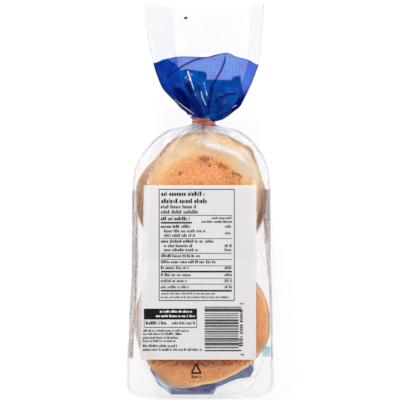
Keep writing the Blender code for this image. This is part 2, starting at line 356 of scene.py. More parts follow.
# folds pressed into the film: rise in mm, half width in mm, how much haze, painted grey shade and painted
# white glare it lays on the film, then the line in photo pixels
bodyFolds = (
    (0.9, 1.2, 0.16, ((166, 143), (155, 158), (146, 172), (141, 200), (138, 240))),
    (0.9, 1.2, 0.40, ((138, 240), (136.4, 280), (134.6, 311), (135, 325), (138, 347), (142, 360),
                      (152.6, 375.5), (164, 385.7), (180, 392))),
    (0.7, 1.3, 0.30, ((134, 168), (136, 200), (132, 240), (131, 290), (129, 330), (129, 360), (134, 384),
                      (143, 394))),
    (0.5, 0.8, 0.22, ((147, 176), (150, 190), (143, 215), (140, 236), (141, 262))),
    (0.9, 1.0, 0.14, ((259, 152), (263, 175), (264.6, 205), (265, 232))),
    (0.9, 1.0, 0.45, ((265, 232), (268.4, 262), (271.6, 286), (273, 315), (273, 345))),
    (0.6, 1.1, 0.60, ((265, 240), (270, 262), (274, 290), (275, 318), (276, 350), (274, 378))),
    (0.9, 1.7, 0.45, ((272, 350), (263, 362), (256, 377), (240, 381), (218, 388), (208, 396))),
    (0.6, 1.6, 0.30, ((256, 377), (262, 384), (268, 392))),
    (0.8, 1.5, 0.60, ((192, 124), (178, 131), (168, 140), (160, 152), (154, 166))),
    (0.7, 1.4, 0.50, ((190, 122), (172, 130), (158, 139), (148, 152), (142, 170))),
    (0.6, 1.2, 0.40, ((189, 121), (165, 129), (150, 140), (140, 155), (136, 172))),
    (0.8, 1.1, 0.60, ((191, 126), (183, 133), (175, 142), (168, 150))),
    (0.7, 1.4, 0.40, ((217, 124), (232, 130), (246, 139), (258, 153), (264, 172))),
    (0.6, 1.2, 0.40, ((217, 122), (238, 129), (252, 139), (263, 154), (269, 172))),
    (0.6, 1.4, 0.20, ((216, 126), (226, 131), (236, 137), (247, 146))),
    # this wide soft one paints the glare over the top muffin
    (0.3, 4.2, 0.68, ((202, 142), (212, 145.5), (224, 149), (236, 153.5), (248, 164))),
    (0.2, 2.2, 0.30, ((240, 146), (250, 156), (256, 172), (258, 186))),
    (0.8, 0.9, 0.90, ((136, 300), (135.6, 325), (138.4, 347), (142.6, 360), (153, 375.5), (164, 385.7),
                      (180, 391))),
    (0.5, 0.8, 0.60, ((158, 131), (150, 141), (142, 154), (138, 168))),
    (0.5, 0.9, 0.60, ((180, 127), (170, 134), (163, 143))),
    (0.5, 0.8, 0.60, ((240, 133), (252, 143), (262, 158), (267, 178))),
    (0.4, 0.6, 0.90, ((263, 255), (268.4, 275), (271.4, 290), (272.6, 320), (273, 350), (272, 380))),
    (0.4, 0.7, 0.70, ((128, 352), (127, 366), (130, 384))),
    (0.5, 1.0, 0.70, ((250, 362), (258, 372), (256, 381), (246, 392))),
    (0.3, 2.4, 0.62, ((141, 290), (139.4, 322), (140.6, 345))),
    (0.6, 2.4, 0.12, ((150, 372), (138, 378), (130, 388))),
    (0.6, 2.6, 0.12, ((190, 392), (170, 390), (150, 394))),
    (0.6, 2.6, 0.12, ((270, 360), (262, 372), (266, 386))),
)
# the same for the tail, with how much painted shade each lays on the blue in place of haze and glare;
# below zero it paints a paler line
tailFolds = (
    (1.1, 1.35, 0.9, ((166, 80), (170, 74), (177, 69.4), (185.3, 64.3), (193.5, 60.2), (201.6, 57.7),
                      (211.8, 55.6), (226, 52.4))),
    (0.9, 0.9, 0.6, ((165.4, 80.6), (170, 70.4), (174, 63.3), (179, 58.7))),
    (1.3, 1.3, 0.95, ((225.6, 53), (224.6, 61.2), (222, 68.4), (218, 75.5), (212.9, 84.7), (210.8, 90),
                      (209.8, 97), (209.8, 106), (208.8, 116))),
    (1.3, 3.8, 1.0, ((173, 85), (184, 95), (194, 106), (204, 121))),
    (1.2, 3.5, 1.0, ((185, 79), (190, 92), (197, 104), (205, 121))),
    (1.1, 2.4, 1.0, ((213, 82), (210.6, 92), (209, 104), (207, 121))),
    (1.0, 2.2, 0.7, ((197, 81), (201, 93), (205, 106), (206, 118))),
    (1.1, 1.7, 0.8, ((171, 100), (183, 109), (197, 117.5))),
    (1.2, 3.0, 1.0, ((240, 108), (232, 111), (224, 115), (214, 118.5))),
    (0.9, 2.2, 0.8, ((238, 93), (228, 94), (219, 98), (213, 104))),
    (0.8, 1.5, 0.6, ((233, 100), (224, 107), (213, 116))),
    (0.7, 1.2, 0.4, ((229, 88), (236, 92), (240, 99))),
    (0.8, 1.2, -0.6, ((247, 76), (243, 86), (239, 96), (237, 102))),
    (0.9, 1.3, 0.7, ((155, 65), (159, 80), (164, 90), (173, 101))),
    (0.9, 1.2, 0.6, ((258, 66), (253, 82), (247, 95), (240, 107))),
)
# painted glints: thin white highlight lines along the tail's hard creases: half width in mm, strength,
# line in photo pixels
paintedGlints = (
    (1.15, 1.0, ((187.2, 70), (189.4, 76), (191, 82))),
    (0.7, 0.7, ((184.6, 79), (187.6, 74.4))),
    (0.6, 0.6, ((188.2, 80), (187.4, 76))),
    (0.6, 0.7, ((189.4, 71.6), (193, 75.8))),
    (0.52, 0.85, ((190, 77), (192, 84), (194.4, 91), (197, 98.5))),
    (0.55, 0.85, ((203.6, 80), (205.2, 88), (207.8, 98))),
    (0.55, 0.85, ((200.6, 89), (202.6, 98), (207.2, 107.5))),
    (0.5, 0.5, ((197.6, 91.4), (201.8, 88.2))),
    (0.55, 0.75, ((172.5, 97), (182, 105), (190, 111), (200, 118.6))),
    (0.62, 0.9, ((232, 108), (236.2, 105), (240.4, 106.8))),
    (0.5, 0.35, ((172.8, 78), (168, 85))),
    (0.5, 0.35, ((173, 83), (178, 89), (182, 95.5))),
    (0.5, 0.4, ((216, 112), (222, 115))),
)


def roundedBox(share, halfWidth, halfDepth, radius):
    flatTop = halfWidth - radius
    flatSide = halfDepth - radius
    quarter = flatTop + flatSide + radius * math.pi / 2
    turn = (share % 1.0) * 4
    corner = np.floor(turn)
    along = turn - corner
    run = np.where(corner % 2 == 1, 1 - along, along) * quarter
    angle = np.clip((run - flatTop) / radius, 0, math.pi / 2)
    x = np.minimum(run, flatTop) + radius * np.sin(angle)
    z = np.where(run > quarter - flatSide, quarter - run, flatSide + radius * np.cos(angle))
    return np.where(corner < 2, x, -x), np.where((corner == 0) | (corner == 3), z, -z)


def pleat(share, place):
    # sharp-topped folds round the bag
    strength, sway = alongStations(pleatStations, place)[..., 0], 0.02 * np.sin(place / 9)
    total = sum(weight * (0.6 - np.abs(np.sin(math.pi * (count * share + phase + sway))))
                for count, phase, weight in bag["pleats"])
    return strength * total / 1.6


def facesDrop(x, y):
    toUpper = np.hypot(x - bag["stackX"], y - bag["upperY"])
    toLower = np.hypot(x - bag["stackX"], y - bag["lowerY"])
    toBoth = np.hypot(x - bag["stackX"], y - np.clip(y, bag["lowerY"], bag["upperY"]))
    pastOne = np.maximum(0, np.minimum(toUpper, toLower) - bag["faceRadius"])
    pastBoth = np.maximum(0, toBoth - bag["faceRadius"])
    return bag["dropBetween"] * pastOne + bag["dropAtCorners"] * pastBoth


def heldBelow(height, limit, softness):
    soft = np.maximum(softness, 1e-6)
    over = np.clip(0.5 + 0.5 * (height - limit) / soft, 0, 1)
    return height + (limit - height) * over - soft * over * (1 - over)


def bodySkin(share, place):
    # filled part of the bag: x, y, z in mm for arrays of share round and place along
    halfWidth, halfDepth, radius = np.moveaxis(alongStations(bodyStations, place), -1, 0)
    x, z = roundedBox(share, halfWidth, halfDepth, radius)
    stretch = 1 + pleat(share, place) / np.hypot(x, z)
    x, z = x * stretch, z * stretch
    fullness = halfWidth / 50
    level = np.minimum(np.abs(z) / halfDepth, 1)
    closeness = 0.5 + 0.5 * np.cos(2 * math.pi * (z / 27.5 + 0.5))
    bulge = bag["sideBulge"] * (1 - level**2) * fullness
    groove = bag["jointGroove"] * fullness**6 * closeness
    x = x * (1 + (bulge - groove) / halfWidth)
    x = x + bag["neckX"] * np.clip((place - 20) / 30, 0, 1)
    x = x + bag["endLean"] * smoothStep(place, -60, -125)
    drop = facesDrop(x, place)
    soft = np.minimum(bag["foldSoftness"], drop)
    middle = bag["depth"] / 2
    less = bag["undersideShare"]
    upper = heldBelow(z, middle - drop, soft)
    lower = -heldBelow(-z, middle - less * drop, less * soft)
    z = np.where(z > 0, upper, lower)
    return np.stack([x, place + 0 * x, z + middle], -1)


def tailPanel(share):
    # across and front-to-back of the tail's four panels, the side ones tucked in
    front = bag["frontShare"]
    side = 0.5 - 2 * front
    t = share % 1.0
    t = np.where(t > 0.5, t - 1, t)
    way = np.sign(t) + (t == 0)
    t = np.abs(t)
    u = np.clip((t - front) / side, 0, 1)
    tuck = np.where(way > 0, 0.22, 0.46) * (1 - np.abs(2 * u - 1))
    across = np.where(t < front, t / front, np.where(t > 0.5 - front, (0.5 - t) / front, 1 - tuck))
    facing = np.where(t < front, 1.0, np.where(t > 0.5 - front, -1.0, 1 - 2 * u))
    return across * way, facing


def tailSkin(share, place):
    shift, halfWidth, halfDepth = np.moveaxis(alongStations(tailStations, place), -1, 0)
    opened = smoothStep(place, 60.0, 68.0)
    across, facing = tailPanel(share)
    roundX, roundZ = np.sin(2 * math.pi * share), np.cos(2 * math.pi * share)
    lens = 0.12 + 0.88 * np.sqrt(np.clip(1 - across**2, 0, 1))
    a = roundX * (1 - opened) + across * opened
    b = roundZ * (1 - opened) + facing * lens * opened
    folds = pleat(share, place)
    gather = np.exp(-((place - 62) / 12.0) ** 2) * opened
    x = halfWidth * a + gather * 1.9 * np.sin(2 * math.pi * 13 * share + 0.7)
    z = halfDepth * b + folds * np.where(np.abs(facing) < 0.99, 0.35, 1)
    out = np.clip((place - bag["neckY"]) / (mouthEnd - bag["neckY"]), 0, 1)
    z = z + 3.2 * out**1.5 * np.sin(2 * math.pi * x / 56 + 0.9) - 5 * out**2
    return np.stack([x + shift, place + 0 * x, z + bag["depth"] / 2], -1)


def edgeAt(edge, across):
    return alongStations(edge, across)[..., 0]


def gridNormals(points):
    # outward normals of a closed grid of rings
    around = np.roll(points, -1, axis=1) - np.roll(points, 1, axis=1)
    along = np.gradient(points, axis=0)
    normal = np.cross(along, around)
    length = np.linalg.norm(normal, axis=-1, keepdims=True)
    return normal / np.maximum(length, 1e-9)


def foldRidges(points, folds, facing, least=0.35):
    # height of the pressed folds at each point, and how strongly one paints there: haze, painted shade and
    # painted glare on the clear film, painted shade and glints on the blue
    x, y = points[..., 0], points[..., 1]
    height, shade = np.zeros(x.shape), np.zeros(x.shape)
    for rise, halfWidth, strength, corners in folds:
        path = [np.array(atPixel(*corner)) for corner in corners]
        lengths = [np.linalg.norm(b - a) for a, b in zip(path, path[1:])]
        nearest, travelled = np.full(x.shape, 1e9), np.zeros(x.shape)
        for k, (first, second) in enumerate(zip(path, path[1:])):
            run = second - first
            t = np.clip(((x - first[0]) * run[0] + (y - first[1]) * run[1]) / (run @ run), 0, 1)
            away = np.hypot(x - first[0] - t * run[0], y - first[1] - t * run[1])
            closer = away < nearest
            nearest = np.where(closer, away, nearest)
            travelled = np.where(closer, (sum(lengths[:k]) + t * lengths[k]) / sum(lengths), travelled)
        fading = smoothStep(travelled, -0.02, 0.15) * smoothStep(travelled, 1.02, 0.8)
        close = np.clip(1 - nearest / halfWidth, 0, 1) * (least + (1 - least) * fading)
        height = np.maximum(height, rise * close * close * (3 - 2 * close))
        shade = np.where(np.abs(strength) * close > np.abs(shade), strength * close, shade)
    return height * facing, shade * facing


def sharesRound():
    # columns round the bag, closest together on the front, with one on every crease
    front = bag["frontShare"]
    stops = (-0.5, front - 0.5, -front, front, 0.5 - front, 0.5)
    counts = (bag["backColumns"] // 2, bag["sideColumns"], bag["frontColumns"], bag["sideColumns"],
              bag["backColumns"] // 2)
    runs = zip(stops, stops[1:], counts)
    return np.concatenate([np.linspace(a, b, n, endpoint=False) for a, b, n in runs])


def streaks(share, place):
    # thin uneven pleats running out from the neck
    total = np.zeros(np.broadcast(share, place).shape)
    for count, phase, weight in ((19, 0.2, 0.5), (31, 0.7, 0.35), (53, 0.4, 0.25)):
        turn = count * (share + 0.012 * np.sin(place / 5 + phase * 9)) + phase
        total = total + weight * (1 - np.abs(np.sin(math.pi * turn))) ** 3
    return total


def makeBody(share):
    ease = 0.5 - 0.5 * np.cos(math.pi * np.linspace(0, 1, bag["bodyRows"]))
    ease = 0.5 * ease + 0.5 * np.linspace(0, 1, bag["bodyRows"])
    shares, places = np.meshgrid(share, sealedEnd + (neckStart - sealedEnd) * ease)
    body = bodySkin(shares, places)
    normal = gridNormals(body)
    offFaces = smoothStep(facesDrop(body[..., 0], body[..., 1]), 0.05, 1.6)
    offFaces = np.maximum(offFaces, smoothStep(np.abs(body[..., 2] - bag["depth"] / 2), 41.5, 36))
    long = 0.5 + 0.5 * noiseAt(body, (0.16, 0.028, 0.16), 1)
    short = np.clip(1 - np.abs(noiseAt(body, (0.07, 0.045, 0.07), 2)) * 2.4, 0, 1) ** 3
    fine = np.clip(1 - np.abs(noiseAt(body, (0.19, 0.10, 0.19), 3)) * 2.4, 0, 1) ** 4
    wrinkle = 0.5 * long + 0.6 * short + 0.12 * fine
    amount = bag["wrinkleOnFaces"] + (bag["wrinkleOff"] - bag["wrinkleOnFaces"]) * offFaces
    ends = smoothStep(places, sealedEnd, sealedEnd + 4.5) * smoothStep(places, 52.6, 49)
    pleats = streaks(shares, places) * smoothStep(places, 14, 46)
    folds, hazeShadeGlare = foldRidges(body, bodyFolds, smoothStep(body[..., 2], 40, 56))
    rise = (wrinkle * amount + pleats * 1.3 + folds) * ends
    body = body + normal * rise[..., None]
    body[..., 2] = np.maximum(body[..., 2], 0.03)
    hazeShadeGlare = hazeShadeGlare + (0.03 * fine + 0.07 * short) * offFaces + 0.14 * pleats
    return body, normal, places[:, 0], np.clip(hazeShadeGlare, 0, 1)


def makeTail(share):
    # neck, blue print and clear mouth, as rows that follow the edges of the print
    across, facing = tailPanel(share)
    front = facing > 0.99
    start = bag["gatherStart"] + 3.4 * np.exp(-((across - 0.45) / 0.28) ** 2) * front
    neckRows = np.linspace(0, 1, bag["neckRows"] + 1)[1:-1, None]
    neck = tailSkin(*np.broadcast_arrays(share, neckStart + (start - neckStart) * neckRows))
    edge = edgeAt(printEdge, across) - np.where(facing < 0, 0.1, 0)
    mouth = edgeAt(mouthEdge, across) - np.where(facing < 0, 0.8 + 0.8 * np.sin(4 * across + 1), 0)
    v = np.linspace(0, 1, bag["printRows"])[:, None]
    printed = tailSkin(*np.broadcast_arrays(share, start + (edge - start) * (0.6 * v + 0.4 * v**2)))
    printed[..., 1] -= 4.2 * smoothStep(across, 0.48, 0.95) * np.exp(-((v - 0.09) / 0.06) ** 2)
    w = np.linspace(0, 1, bag["mouthRows"])[1:, None]
    clear = tailSkin(*np.broadcast_arrays(share, edge + (mouth - edge) * w))
    tail = np.concatenate([printed, clear])
    ripple = noiseAt(tail, (0.05, 0.02, 0.3), 4) * 1.3 + noiseAt(tail, (0.13, 0.05, 0.3), 5) * 0.5
    tail[..., 2] += ripple * smoothStep(tail[..., 1], 62, 80)
    shown = np.broadcast_to(smoothStep(facing, 0.9, 1.0), tail.shape[:-1])
    folds, shade = foldRidges(tail, tailFolds, shown)
    shade = np.sign(shade) * smoothStep(np.abs(shade), 0.02, 0.8)
    tail[..., 2] += folds * 0.9
    # the painted glints, kept on the blue print as its white
    creases = [(0.0, *crease) for crease in paintedGlints]
    white = foldRidges(tail, creases, shown, 0.0)[1]
    white = white * np.clip(1.0 + 0.9 * noiseAt(tail, (0.28, 0.10, 0.28), 6), 0.5, 1)
    return neck, tail, shade, smoothStep(white, 0.12, 0.75) * white**0.5


# finish of the film
film = {
    "clear": (0.981, 0.983, 0.989),
    "edge": (0.93, 0.93, 0.94),      # seen along the film, where it is thick
    # grey multiplied into the folds as painted shade
    "creaseShade": (0.90, 0.895, 0.905),
    # foldHazeAndGlare: white haze along the folds, partly crease whitening and partly painted glare
    "haze": 0.012, "foldHazeAndGlare": 0.85, "offHaze": 0.03, "milky": (0.9, 0.9, 0.92),
    # gatherShade: purplish-red painted shade in the bunched film by the tie
    "gatherShade": (0.21, 0.12, 0.15),
    "gloss": 0.12, "reflectFlat": 0.018, "reflectEdge": 0.25,
    "inkReflectFlat": 0.006, "inkReflectEdge": 0.12,
}


def seeThrough(mat, tint, haze, hazeColour, gloss, normal, kind="reflect"):
    mirror = mat.scaled(mat.steepness(4.0), film[kind + "Edge"], film[kind + "Flat"])
    milky = mat.node("BsdfDiffuse", {"Color": hazeColour, "Normal": normal})
    shine = mat.node("BsdfGlossy", {"Color": (1, 1, 1), "Roughness": gloss, "Normal": normal})
    return mat.blend(mirror, mat.blend(haze, mat.clear(tint), milky), shine)


def filmMaterial():
    mat = Mat("clear_film")
    gather, storedHazeShadeGlare = mat.stored("gather"), mat.stored("hazeShadeAndGlare")
    # painted shade where the film is bunched by the tie
    tint = mat.coats(film["clear"], (mat.steepness(3.0), film["edge"]), (gather, film["gatherShade"]))
    # the folds: grey painted shade, then white haze that also paints their glare
    tint = mat.mix(mat.fade(storedHazeShadeGlare, 0.05, 0.5), tint, film["creaseShade"], "MULTIPLY")
    haze = mat.scaled(storedHazeShadeGlare, film["foldHazeAndGlare"], film["haze"])
    haze = mat.scaled(mat.fade(mat.grain(0.06, 3), 0.45, 0.75), film["offHaze"], haze)
    haze = mat.scaled(gather, 0.04, haze, clamp=True)
    normal = mat.bumped(mat.grain(0.22, 3, 0.5, 0.8), 0.12)
    return mat.finish(seeThrough(mat, tint, haze, film["milky"], film["gloss"], normal))


# blue print on the tail's film
blueInk = {
    "through": (0.46, 0.65, 0.95), "hatch": (0.24, 0.37, 0.80), "purple": (0.50, 0.50, 0.86),
    "gusset": (0.62, 0.74, 0.96),
    "deep": (0.001, 0.135, 0.43),
    "clouds": (0.72, 1.4),           # the deep blue's dim and bright clouds, as shares of it
    # multiplied in as painted shade along the folds
    "crease": (0.09, 0.11, 0.32),
    "pale": (0.75, 0.62, 0.92),
    "surface": (0.001, 0.04, 0.33), "creaseShadeSurface": (0.0, 0.008, 0.09),
    "cover": 0.07, "deepCover": 0.22, "gloss": 0.16,
    # colour of the painted glints
    "white": (0.88, 0.90, 0.96),
}
# upper limit of the dark field printed on the far side, in photo pixels
darkField = (
    (150, 56), (163, 57), (170, 60), (176, 64), (181, 70), (186, 68.4), (205.7, 71.4), (206.9, 79),
    (231, 79.5), (234, 76), (240.5, 75), (242.5, 90), (246, 99), (252, 104), (262, 108),
)


def blueMaterial():
    mat = Mat("blue_print")
    deep, crease, white, side = [mat.stored(name) for name in ("deep", "crease", "white", "gusset")]
    darker, paler = mat.most(crease, 0.0), mat.most(mat.times(crease, -1.0), 0.0)
    # fine woven hatch of the lighter blue, clouded with purple
    hatch = mat.times(mat.wave(0.17, "Y"), mat.wave(0.12, "X"), 0.5)
    dim, bright = [tuple(c * share for c in blueInk["deep"]) for share in blueInk["clouds"]]
    clouded = mat.mix(mat.fade(mat.grain(0.14, 4, 0.6), 0.36, 0.64), dim, bright)
    tint = mat.coats(blueInk["through"], (hatch, blueInk["hatch"]),
                     (mat.fade(mat.grain(0.10, 3), 0.42, 0.62), blueInk["purple"]),
                     (side, blueInk["gusset"]), (deep, clouded))
    # painted shade in the folds and towards the tie; where the value is below zero, a paler line
    tint = mat.mix(darker, tint, blueInk["crease"], "MULTIPLY")
    tint = mat.mix(paler, tint, blueInk["pale"])
    cover = mat.scaled(deep, blueInk["deepCover"] - blueInk["cover"], blueInk["cover"])
    cover = mat.maths("MULTIPLY", cover, mat.scaled(side, -0.8, 1.0), clamp=True)
    # milky face of the ink: darker as painted shade in the folds, white as painted highlight along the
    # glints
    surface = mat.coats(blueInk["surface"], (darker, blueInk["creaseShadeSurface"]),
                        (mat.fade(white, 0.1, 0.5), blueInk["white"]))
    normal = mat.bumped(mat.grain(0.3, 3, 0.5, 0.8), 0.12)
    return mat.finish(seeThrough(mat, tint, mat.most(cover, white, clamp=True), surface, blueInk["gloss"],
                                 normal, "inkReflect"))


def gatherAt(rows, share):
    # how tightly the film is bunched near the tie; the film lays a purplish-red painted shade by it,
    # darkest in the slit just below the tie
    across = rows[..., 0] - bag["neckX"]
    across = np.where(across < 0, across * 0.62, across * 1.1)
    near = np.exp(-np.hypot(across, (rows[..., 1] - 55) * 1.5) / 11.0)
    slitShade = 0.9 * np.exp(-((rows[..., 0] - bag["neckX"]) / 1.3) ** 2 - ((rows[..., 1] - 52.4) / 2.2) ** 2)
    slitShade = slitShade * (rows[..., 2] > bag["depth"] / 2)
    pleats = streaks(np.broadcast_to(share, near.shape), rows[..., 1])
    return np.clip(near * (0.42 + 1.4 * pleats) + slitShade, 0, 1)


def makeFilm():
    share = sharesRound()
    columns = len(share)
    body, normal, places, hazeShadeGlare = makeBody(share)
    neck, tail, shade, white = makeTail(share)
    rows = np.concatenate([body, neck, tail])
    printStart = len(body) + len(neck)
    printEnd = printStart + bag["printRows"] - 1
    across, facing = tailPanel(share)
    front, inGusset = facing > 0.99, np.abs(facing) < 0.99
    clearFaces = gridFaces(printStart + 1, columns, True)
    clearFaces += gridFaces(len(rows) - printEnd, columns, True, printEnd * columns)
    clearFaces.append(tuple(range(columns))[::-1])
    clear = addPiece("film_bag", rows.reshape(-1, 3), clearFaces, [filmMaterial()])
    noCloud = np.zeros((len(rows) - len(body), columns))
    storeValue(clear, "hazeShadeAndGlare", np.concatenate([hazeShadeGlare, noCloud]))
    gather = gatherAt(rows, share)
    # painted shade along the clear mouth's front side creases, carried by the gather
    creaseShade = np.exp(-((np.abs(across) - 1) / 0.03) ** 2) * front
    gather[printEnd:] = np.maximum(gather[printEnd:], 0.10 * creaseShade)
    storeValue(clear, "gather", gather)
    dropLoose(clear)
    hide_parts("bag")
    band = rows[printStart:printEnd + 1]
    shade = shade[:len(band)]
    blue = addPiece("blue_tail_print", band.reshape(-1, 3), gridFaces(len(band), columns, True),
                    [blueMaterial()])
    limits = np.array([atPixel(*corner) for corner in darkField])
    under = smoothStep(band[..., 1] - np.interp(band[..., 0], limits[:, 0], limits[:, 1]), 0.5, -0.5)
    gusset = inGusset * smoothStep(band[..., 1], 68, 82)
    # darker towards the tie and in thin lines along the print's top and side edges, stored with the
    # painted fold shade
    nearTie = 0.5 * smoothStep(band[..., 1], 80, 60) * front
    nearTie[-2:] = np.maximum(nearTie[-2:], 0.45 * front)
    nearTie = np.maximum(nearTie, 0.7 * smoothStep(np.abs(across), 0.975, 0.995) * front)
    storeValue(blue, "deep", np.maximum(under * (facing < -0.99), inGusset * 1.0 - gusset))
    storeValue(blue, "gusset", gusset)
    storeValue(blue, "crease", np.where(shade < 0, shade, np.maximum(nearTie, shade)))
    storeValue(blue, "white", white[:len(band)])
    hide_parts("bag")
    return body, normal, places, share


def storeValue(piece, name, values):
    data = piece.data.attributes.new(name, "FLOAT", "POINT").data
    data.foreach_set("value", np.asarray(values, np.float32).ravel())


def dropLoose(piece):
    # removes points that no face uses
    mesh = bmesh.new()
    mesh.from_mesh(piece.data)
    bmesh.ops.delete(mesh, geom=[v for v in mesh.verts if not v.link_faces], context="VERTS")
    mesh.to_mesh(piece.data)
    mesh.free()


filmGrid = makeFilm()
print("film bag and blue tail made")


# The muffins: middle, half sizes across and along, half thickness, browned disc (middle, half sizes).
# Dents: angle, rise, spread in degrees. Shaded edge arcs: direction, where along it the painted shade
# starts and is full.
muffinSet = {
    "frontMesh": (110, 232), "hiddenMesh": (64, 132),
    "squareness": 5.0,
    "outlineWander": 0.8, "lumps": 0.5, "crags": 0.6, "pores": 0.13, "sideLumps": 0.6,
    "settled": 0.25,                 # mm that the faces are pressed in
}
muffins = (
    {"name": "muffin_upper_front", "at": (2.2, 6.0, 69.0), "half": (41.6, 44.4), "thick": 13.6,
     "disc": (-1.2, 1.6, 28.6, 25.0), "seed": 3, "shown": True, "toast": 0.15, "rimTone": "straw",
     "rimLow": 2.0, "shadedEdgeArcs": ((-0.62, 0.78, 30.0, 38.0), (0.6, 0.8, 36.0, 41.0)),
     "dents": ((41, 2.6, 8), (88, -1.3, 22)),
     # dark dimples, two of them painted shade, and golden spots: x, y, half sizes, slant in degrees,
     # strength
     "dimplesAndShade": ((0.0, 23.0, 5.2, 2.4, 0, 0.8), (3.0, 19.0, 2.0, 1.3, -20, 0.8),
                 (13.2, 17.6, 5.6, 2.1, -32, 0.75), (22.3, 12.3, 4.6, 1.5, -24, 0.8),
                 (-17.4, 12.8, 2.4, 1.4, 20, 0.6), (19.0, 9.4, 8.0, 7.0, -20, 0.34),
                 (0.0, 19.5, 8.0, 5.0, 0, 0.3),
                 # the last dimple is painted shade in the dark gap beside the middle muffin
                 (-4.0, 14.0, 3.4, 1.6, 30, 0.25), (-32.2, 26.2, 4.8, 1.1, 50, 1.0)),
     "spots": ((-31.4, 22.4, 2.6, 4.0, 30, 1.0), (21.5, 35.6, 4.0, 1.8, -30, 0.7),
               (-22.0, 35.0, 7.0, 2.2, 42, 0.7), (-28.0, 6.0, 7.5, 13.0, 0, 1.0),
               (36.0, -6.0, 2.0, 5.0, 0, 0.6))},
    {"name": "muffin_upper_middle", "at": (-0.4, -1.0, 42.0), "half": (45.7, 42.6), "thick": 13.3,
     "disc": (0, 0, 40.0, 38.0), "seed": 8, "toast": 0.35, "dents": ((157, 1.7, 15), (8, 1.5, 26))},
    {"name": "muffin_upper_back", "at": (2.4, -0.6, 14.5), "half": (44.4, 42.4), "thick": 13.6,
     "disc": (0, 0, 39.0, 37.0), "seed": 13, "toast": 0.25, "rimLow": 4.0},
    {"name": "muffin_lower_front", "at": (0.8, -87.0, 68.6), "half": (48.2, 47.2), "thick": 13.0,
     "disc": (0, 0, 50.0, 49.0), "seed": 21, "shown": True, "toast": 0.15, "tilt": 2.0, "rimTone": "amber",
     "rimLow": 1.0, "shadedEdgeArcs": ((-0.42, -0.91, 41.0, 47.0),),
     "dents": ((-62, -4.4, 24), (-34, -1.2, 12), (-88, -1.4, 10), (-117, 3.4, 13), (-136, 1.2, 10)),
     # the first, wide dimple is the label's shadow, painted as a dark band just below it
     "dimplesAndShade": ((0.0, -26.2, 35.0, 3.8, 0, 1.0), (30.0, 4.0, 4.0, 9.0, 0, 0.30),
                 (33.0, 16.0, 2.0, 3.0, 0, 0.4), (12.0, -33.0, 6.0, 2.0, 0, 0.25))},
    {"name": "muffin_lower_middle", "at": (-2.2, -87.2, 41.4), "half": (43.6, 42.0), "thick": 13.2,
     "disc": (0, 0, 36.0, 34.0), "seed": 34, "toast": 0.2, "rimLow": 3.4, "tilt": 0.8},
    {"name": "muffin_lower_back", "at": (0.4, -87.4, 14.3), "half": (43.8, 41.6), "thick": 13.6,
     "disc": (0, 0, 38.0, 36.0), "seed": 55, "toast": 0.25, "rimLow": 4.2},
)

# crust colours
crust = {
    "cream": (0.80, 0.65, 0.47),
    "straw": (0.80, 0.535, 0.275),
    "amber": (0.95, 0.56, 0.25),
    "gold": (0.93, 0.45, 0.13),
    "baked": (0.895, 0.365, 0.118),
    "toasted": (0.74, 0.235, 0.07),
    "dark": (0.34, 0.036, 0.008),
    "flour": (0.95, 0.63, 0.37),
    # dull: brown of the hidden muffins' rims, also used for the painted shade of the edge arcs
    "dull": (0.52, 0.27, 0.125),
    "waist": (0.83, 0.69, 0.50),
}


